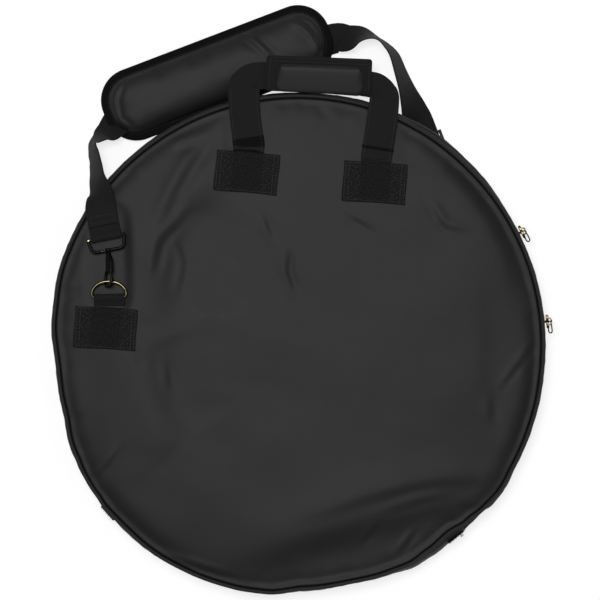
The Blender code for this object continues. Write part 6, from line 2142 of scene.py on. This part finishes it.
def make_pad():
    """The stuffed cushion, its bound edge with its seam, and the sleeve that the strap runs in."""
    sizes = bag_sizes()
    turn = rotation(PAD_ANGLE, "Z")
    place = Matrix.Translation(pad_point(PAD_ALONG, PAD_ACROSS, 0)) @ turn
    half_x = PAD_LENGTH / 2 + PAD_SPREAD[0]
    half_y = PAD_WIDTH / 2 + PAD_SPREAD[1]
    corner = PAD_CORNER
    inset = BINDING_WIDTH
    rise = PAD_THICKNESS - 0.0035
    base = PAD_UNDERSIDE
    layers = [
        (half_x - inset * i, half_y - inset * i, corner - inset * i, base + rise * share, 0)
        for i, share in PAD_LAYERS
    ]
    pad = layered_form("shoulder_pad_cushion", layers, Matrix.Identity(4), 10)
    rim_low = base + rise * 0.3

    def pinned(point):
        return 1.0 if point[2] < rim_low else 0.0

    puffed(pad, PAD_CELL, sizes.pad_pressure, PUFF_LIMIT, pinned, base)
    points = shape_array(pad.data)
    along, across = points[:, 0], points[:, 1]
    high = smooth_step((points[:, 2] - base - rise * 0.35) / (rise * 0.4))
    drop = crease_depth(along, across, PAD_CREASES) - ripple(along, across, 12, 0.05) * 0.0005
    points[:, 2] -= drop * high * sizes.crease_strength
    points[:, 2] = np.minimum(points[:, 2], base + PAD_THICKNESS + 0.0015)
    lay_cloth_map(pad, lambda p: (p[:, 0].copy(), p[:, 1] + np.sign(p[:, 1]) * (p[:, 2] - base) * 0.8))
    matrix = np.array(place)
    set_shape(pad.data, points @ matrix[:3, :3].T + matrix[:3, 3])
    finished(pad, "shell", "pad", ("shoulder_pad",))

    mid = inset / 2
    outline = rounded_outline(half_x - mid, half_y - mid, corner - mid, 24)
    even = []
    for n, p in enumerate(outline):
        q = outline[(n + 1) % len(outline)]
        even.append(p)
        gap = int((q - p).length / 0.006)
        even += [p.lerp(q, k / (gap + 1)) for k in range(1, gap + 1)]
    half_thick = BINDING_THICKNESS / 2
    middle = [place @ (p + Vector((0, 0, base + half_thick))) for p in even]
    frames = wire_frames(middle, UP, True)
    turned = np.radians(np.linspace(90, -90, 9))
    section = [(mid - half_thick + half_thick * math.cos(a), half_thick * math.sin(a)) for a in turned]
    section += [(-mid * 0.5, -half_thick), (-mid, -half_thick * 0.8), (-mid, half_thick * 0.7)]
    section += [(-mid * 0.8, half_thick), (-mid * 0.2, half_thick)]
    binding = sweep("pad_bound_edge", section, frames, closed_path=True)
    finished(binding, "binding", "pad", ("pad_binding",))
    seam_in = inset * 0.86
    seam = rounded_outline(half_x - seam_in, half_y - seam_in, corner - seam_in, 16)
    seam.append(seam[0])
    line = [place @ (p + Vector((0, 0, base + BINDING_THICKNESS + 0.0001))) for p in seam]
    stitches("pad_seam", [(line, UP)], "pad")

    half_w = SLEEVE_WIDTH / 2
    top = base - 0.0009
    low = SLEEVE_FLOOR_Z
    slope = STRAP_PAD_Z * 0.8
    section = [(-half_w, top), (-half_w + slope * 0.4, low + 0.0004), (-half_w + slope, low)]
    section += [(-half_w + slope + (SLEEVE_WIDTH - 2 * slope) * n / 6, low) for n in range(1, 6)]
    section += [(half_w - slope, low), (half_w - slope * 0.4, low + 0.0004), (half_w, top)]
    quarter = rotation(-90, "Z")
    start = place @ Matrix.Translation((-SLEEVE_LENGTH / 2, STRAP_PAD_OFFSET, 0)) @ quarter
    frames = [start @ Matrix.Translation((0, SLEEVE_LENGTH * n / 10, 0)) for n in range(11)]
    sleeve = sweep("pad_strap_sleeve", section, frames, closed_section=False)
    wall(sleeve, SLEEVE_THICKNESS, 0)
    finished(sleeve, "webbing", "pad", ("pad_sleeve",))


def make_stage():
    """White floor that keeps the bag's shadow, plain soft light, and the camera straight above."""
    sizes = bag_sizes()
    bm = bmesh.new()
    bmesh.ops.create_grid(bm, x_segments=2, y_segments=2, size=FLOOR_SIZE)
    bmesh.ops.translate(bm, vec=(0, 0, FLOOR_Z), verts=bm.verts)
    floor = new_object("floor", bm)
    recipe = Recipe("floor_paper")
    grain = recipe.noise(recipe.place(), 30.0, 3.0, 0.5)
    paper = recipe.mix(grain, (0.29, 0.29, 0.29), (0.31, 0.31, 0.31))
    diffuse = recipe.node("ShaderNodeBsdfDiffuse", {}, {"Color": paper})
    rays = recipe.node("ShaderNodeLightPath", {}, {}, "Is Camera Ray")
    glossy = Signal(recipe, rays.socket.node.outputs["Is Glossy Ray"])
    seen = (rays + glossy).between(0.0, 1.0)
    glow = recipe.node("ShaderNodeEmission", {}, {"Color": (1, 1, 1, 1), "Strength": sizes.floor_glow})
    both = recipe.node("ShaderNodeAddShader", {}, {0: diffuse, 1: glow})
    surface = recipe.node("ShaderNodeMixShader", {}, {0: seen, 1: diffuse, 2: both})
    recipe.node("ShaderNodeOutputMaterial", {}, {"Surface": surface})
    floor.data.materials.append(recipe.material)

    world = bpy.data.worlds.new("studio")
    world.use_nodes = True
    backdrop = world.node_tree.nodes["Background"]
    backdrop.inputs["Color"].default_value = (1, 1, 1, 1)
    backdrop.inputs["Strength"].default_value = WORLD_STRENGTH
    bpy.context.scene.world = world
    for name, place, size, power in LAMPS:
        lamp = bpy.data.lights.new(name, "AREA")
        lamp.shape = "DISK"
        lamp.size = size
        lamp.energy = power
        obj = bpy.data.objects.new(name, lamp)
        bpy.context.scene.collection.objects.link(obj)
        obj.location = place
        obj.rotation_euler = (-Vector(place)).to_track_quat("-Z", "Y").to_euler()

    camera_data = bpy.data.cameras.new("camera")
    camera = bpy.data.objects.new("camera", camera_data)
    bpy.context.scene.collection.objects.link(camera)
    camera_data.sensor_width = SENSOR_WIDTH
    camera_data.lens = SENSOR_WIDTH * CAMERA_DISTANCE / SEEN_WIDTH
    camera.location = (*CAMERA_OVER, CAMERA_DISTANCE + BAG_DEPTH)
    camera.rotation_euler = (0, 0, math.radians(CAMERA_TURN))
    camera_data.clip_end = CLIP_END
    bpy.context.scene.camera = camera
    bpy.context.scene.view_settings.view_transform = "Standard"


# Settings, operators and panel


class CymbalBagSizes(bpy.types.PropertyGroup):
    """Sizes that a user would change."""

    weave_pitch: bpy.props.FloatProperty(
        name="Weave pitch", description="Distance between the threads of the bag's cloth", default=0.0009,
        precision=5, unit="LENGTH",
    )
    crease_strength: bpy.props.FloatProperty(
        name="Crease strength", description="How deep the creases are, 1 as photographed", default=1.0,
        subtype="FACTOR", min=0.0, max=2.0,
    )
    stitch_length: bpy.props.FloatProperty(
        name="Stitch length", description="Length of one stitch", default=0.0030, precision=4, unit="LENGTH"
    )
    stitch_gap: bpy.props.FloatProperty(
        name="Stitch gap", description="Gap between one stitch and the next", default=0.0009, precision=4,
        unit="LENGTH",
    )
    pad_pressure: bpy.props.FloatProperty(
        name="Pad pressure", description="How hard the shoulder pad is stuffed", default=4.0
    )
    floor_glow: bpy.props.FloatProperty(
        name="Floor glow", description="White added to the floor where it is seen directly", default=0.76
    )


class CymbalBagColours(bpy.types.PropertyGroup):
    """Colours that a user would change."""

    cloth: bpy.props.FloatVectorProperty(
        name="Cloth", description="Colour of the bag's cloth", default=(0.0088, 0.0088, 0.0095),
        subtype="COLOR", size=3,
    )
    webbing: bpy.props.FloatVectorProperty(
        name="Webbing", description="Colour of the handles and strap", default=(0.0050, 0.0050, 0.0052),
        subtype="COLOR", size=3,
    )
    patch: bpy.props.FloatVectorProperty(
        name="Patches", description="Colour of the reinforcing patches", default=(0.0070, 0.0070, 0.0074),
        subtype="COLOR", size=3,
    )
    piping: bpy.props.FloatVectorProperty(
        name="Piping", description="Colour of the piping and bound edges", default=(0.0085, 0.0085, 0.0088),
        subtype="COLOR", size=3,
    )
    metal: bpy.props.FloatVectorProperty(
        name="Dark metal", description="Colour of the rings, hooks, sliders and pulls",
        default=(0.012, 0.011, 0.010), subtype="COLOR", size=3,
    )
    brass: bpy.props.FloatVectorProperty(
        name="Brass", description="Colour of the zip's stops and the sliders' rubbed places",
        default=(0.62, 0.48, 0.22), subtype="COLOR", size=3,
    )


class MakeFrontCloth(bpy.types.Operator):
    """Creased front panel cloth."""

    bl_idname = "cymbal_bag.front_cloth"
    bl_label = "Front cloth"

    def execute(self, context):
        make_front_cloth()
        return {"FINISHED"}


class MakeBackCloth(bpy.types.Operator):
    """Back panel cloth, hollowed over what lies under it."""

    bl_idname = "cymbal_bag.back_cloth"
    bl_label = "Back cloth"

    def execute(self, context):
        make_back_cloth()
        return {"FINISHED"}


class MakeSides(bpy.types.Operator):
    """Piping and the side cloth between its seams."""

    bl_idname = "cymbal_bag.sides"
    bl_label = "Sides and piping"

    def execute(self, context):
        make_piping()
        make_sides()
        return {"FINISHED"}


class MakeZip(bpy.types.Operator):
    """Zip tapes, teeth, end tabs, sliders and pulls."""

    bl_idname = "cymbal_bag.zip"
    bl_label = "Zip"

    def execute(self, context):
        make_zip()
        make_slider("upper_slider", UPPER_SLIDER_ANGLE)
        make_slider("lower_slider", LOWER_SLIDER_ANGLE)
        return {"FINISHED"}


class MakePatches(bpy.types.Operator):
    """Sewn patches that carry the handles and rings."""

    bl_idname = "cymbal_bag.patches"
    bl_label = "Patches"

    def execute(self, context):
        make_patches()
        return {"FINISHED"}


class MakeHandles(bpy.types.Operator):
    """Front handle with its padded grip, and the back handle."""

    bl_idname = "cymbal_bag.handles"
    bl_label = "Handles"

    def execute(self, context):
        make_front_handle()
        make_back_handle()
        return {"FINISHED"}


class MakeFixings(bpy.types.Operator):
    """D-rings, snap hooks, swivel eyes and the strap's sewn ends."""

    bl_idname = "cymbal_bag.fixings"
    bl_label = "Strap fixings"

    def execute(self, context):
        make_fixings()
        return {"FINISHED"}


class MakeStrap(bpy.types.Operator):
    """Shoulder strap in its front run and its run under the bag."""

    bl_idname = "cymbal_bag.strap"
    bl_label = "Strap"

    def execute(self, context):
        make_strap()
        return {"FINISHED"}


class MakePad(bpy.types.Operator):
    """Stuffed shoulder pad with its bound edge and sleeve."""

    bl_idname = "cymbal_bag.pad"
    bl_label = "Shoulder pad"

    def execute(self, context):
        make_pad()
        return {"FINISHED"}


class MakeStage(bpy.types.Operator):
    """Floor, light and camera."""

    bl_idname = "cymbal_bag.stage"
    bl_label = "Stage"

    def execute(self, context):
        make_stage()
        return {"FINISHED"}


OPERATORS = (
    MakeStage, MakeFrontCloth, MakeBackCloth, MakeSides, MakeZip, MakePatches, MakeHandles, MakeFixings,
    MakeStrap, MakePad,
)


class CymbalBagPanel(bpy.types.Panel):
    """Lists the bag's pieces and settings in the sidebar."""

    bl_idname = "VIEW3D_PT_cymbal_bag"
    bl_label = "Cymbal bag"
    bl_space_type = "VIEW_3D"
    bl_region_type = "UI"
    bl_category = "Cymbal Bag"

    def draw(self, context):
        for operator in OPERATORS:
            self.layout.operator(operator.bl_idname)
        for group in (context.scene.cymbal_bag_sizes, context.scene.cymbal_bag_colours):
            for name in group.__annotations__:
                self.layout.prop(group, name)


CLASSES = (CymbalBagSizes, CymbalBagColours, *OPERATORS, CymbalBagPanel)


def register():
    for cls in CLASSES:
        bpy.utils.register_class(cls)
    bpy.types.Scene.cymbal_bag_sizes = bpy.props.PointerProperty(type=CymbalBagSizes)
    bpy.types.Scene.cymbal_bag_colours = bpy.props.PointerProperty(type=CymbalBagColours)


def unregister():
    del bpy.types.Scene.cymbal_bag_colours
    del bpy.types.Scene.cymbal_bag_sizes
    for cls in reversed(CLASSES):
        bpy.utils.unregister_class(cls)


def main():
    register()
    for operator in OPERATORS:
        group, name = operator.bl_idname.split(".")
        getattr(getattr(bpy.ops, group), name)()


if __name__ == "__main__":
    main()
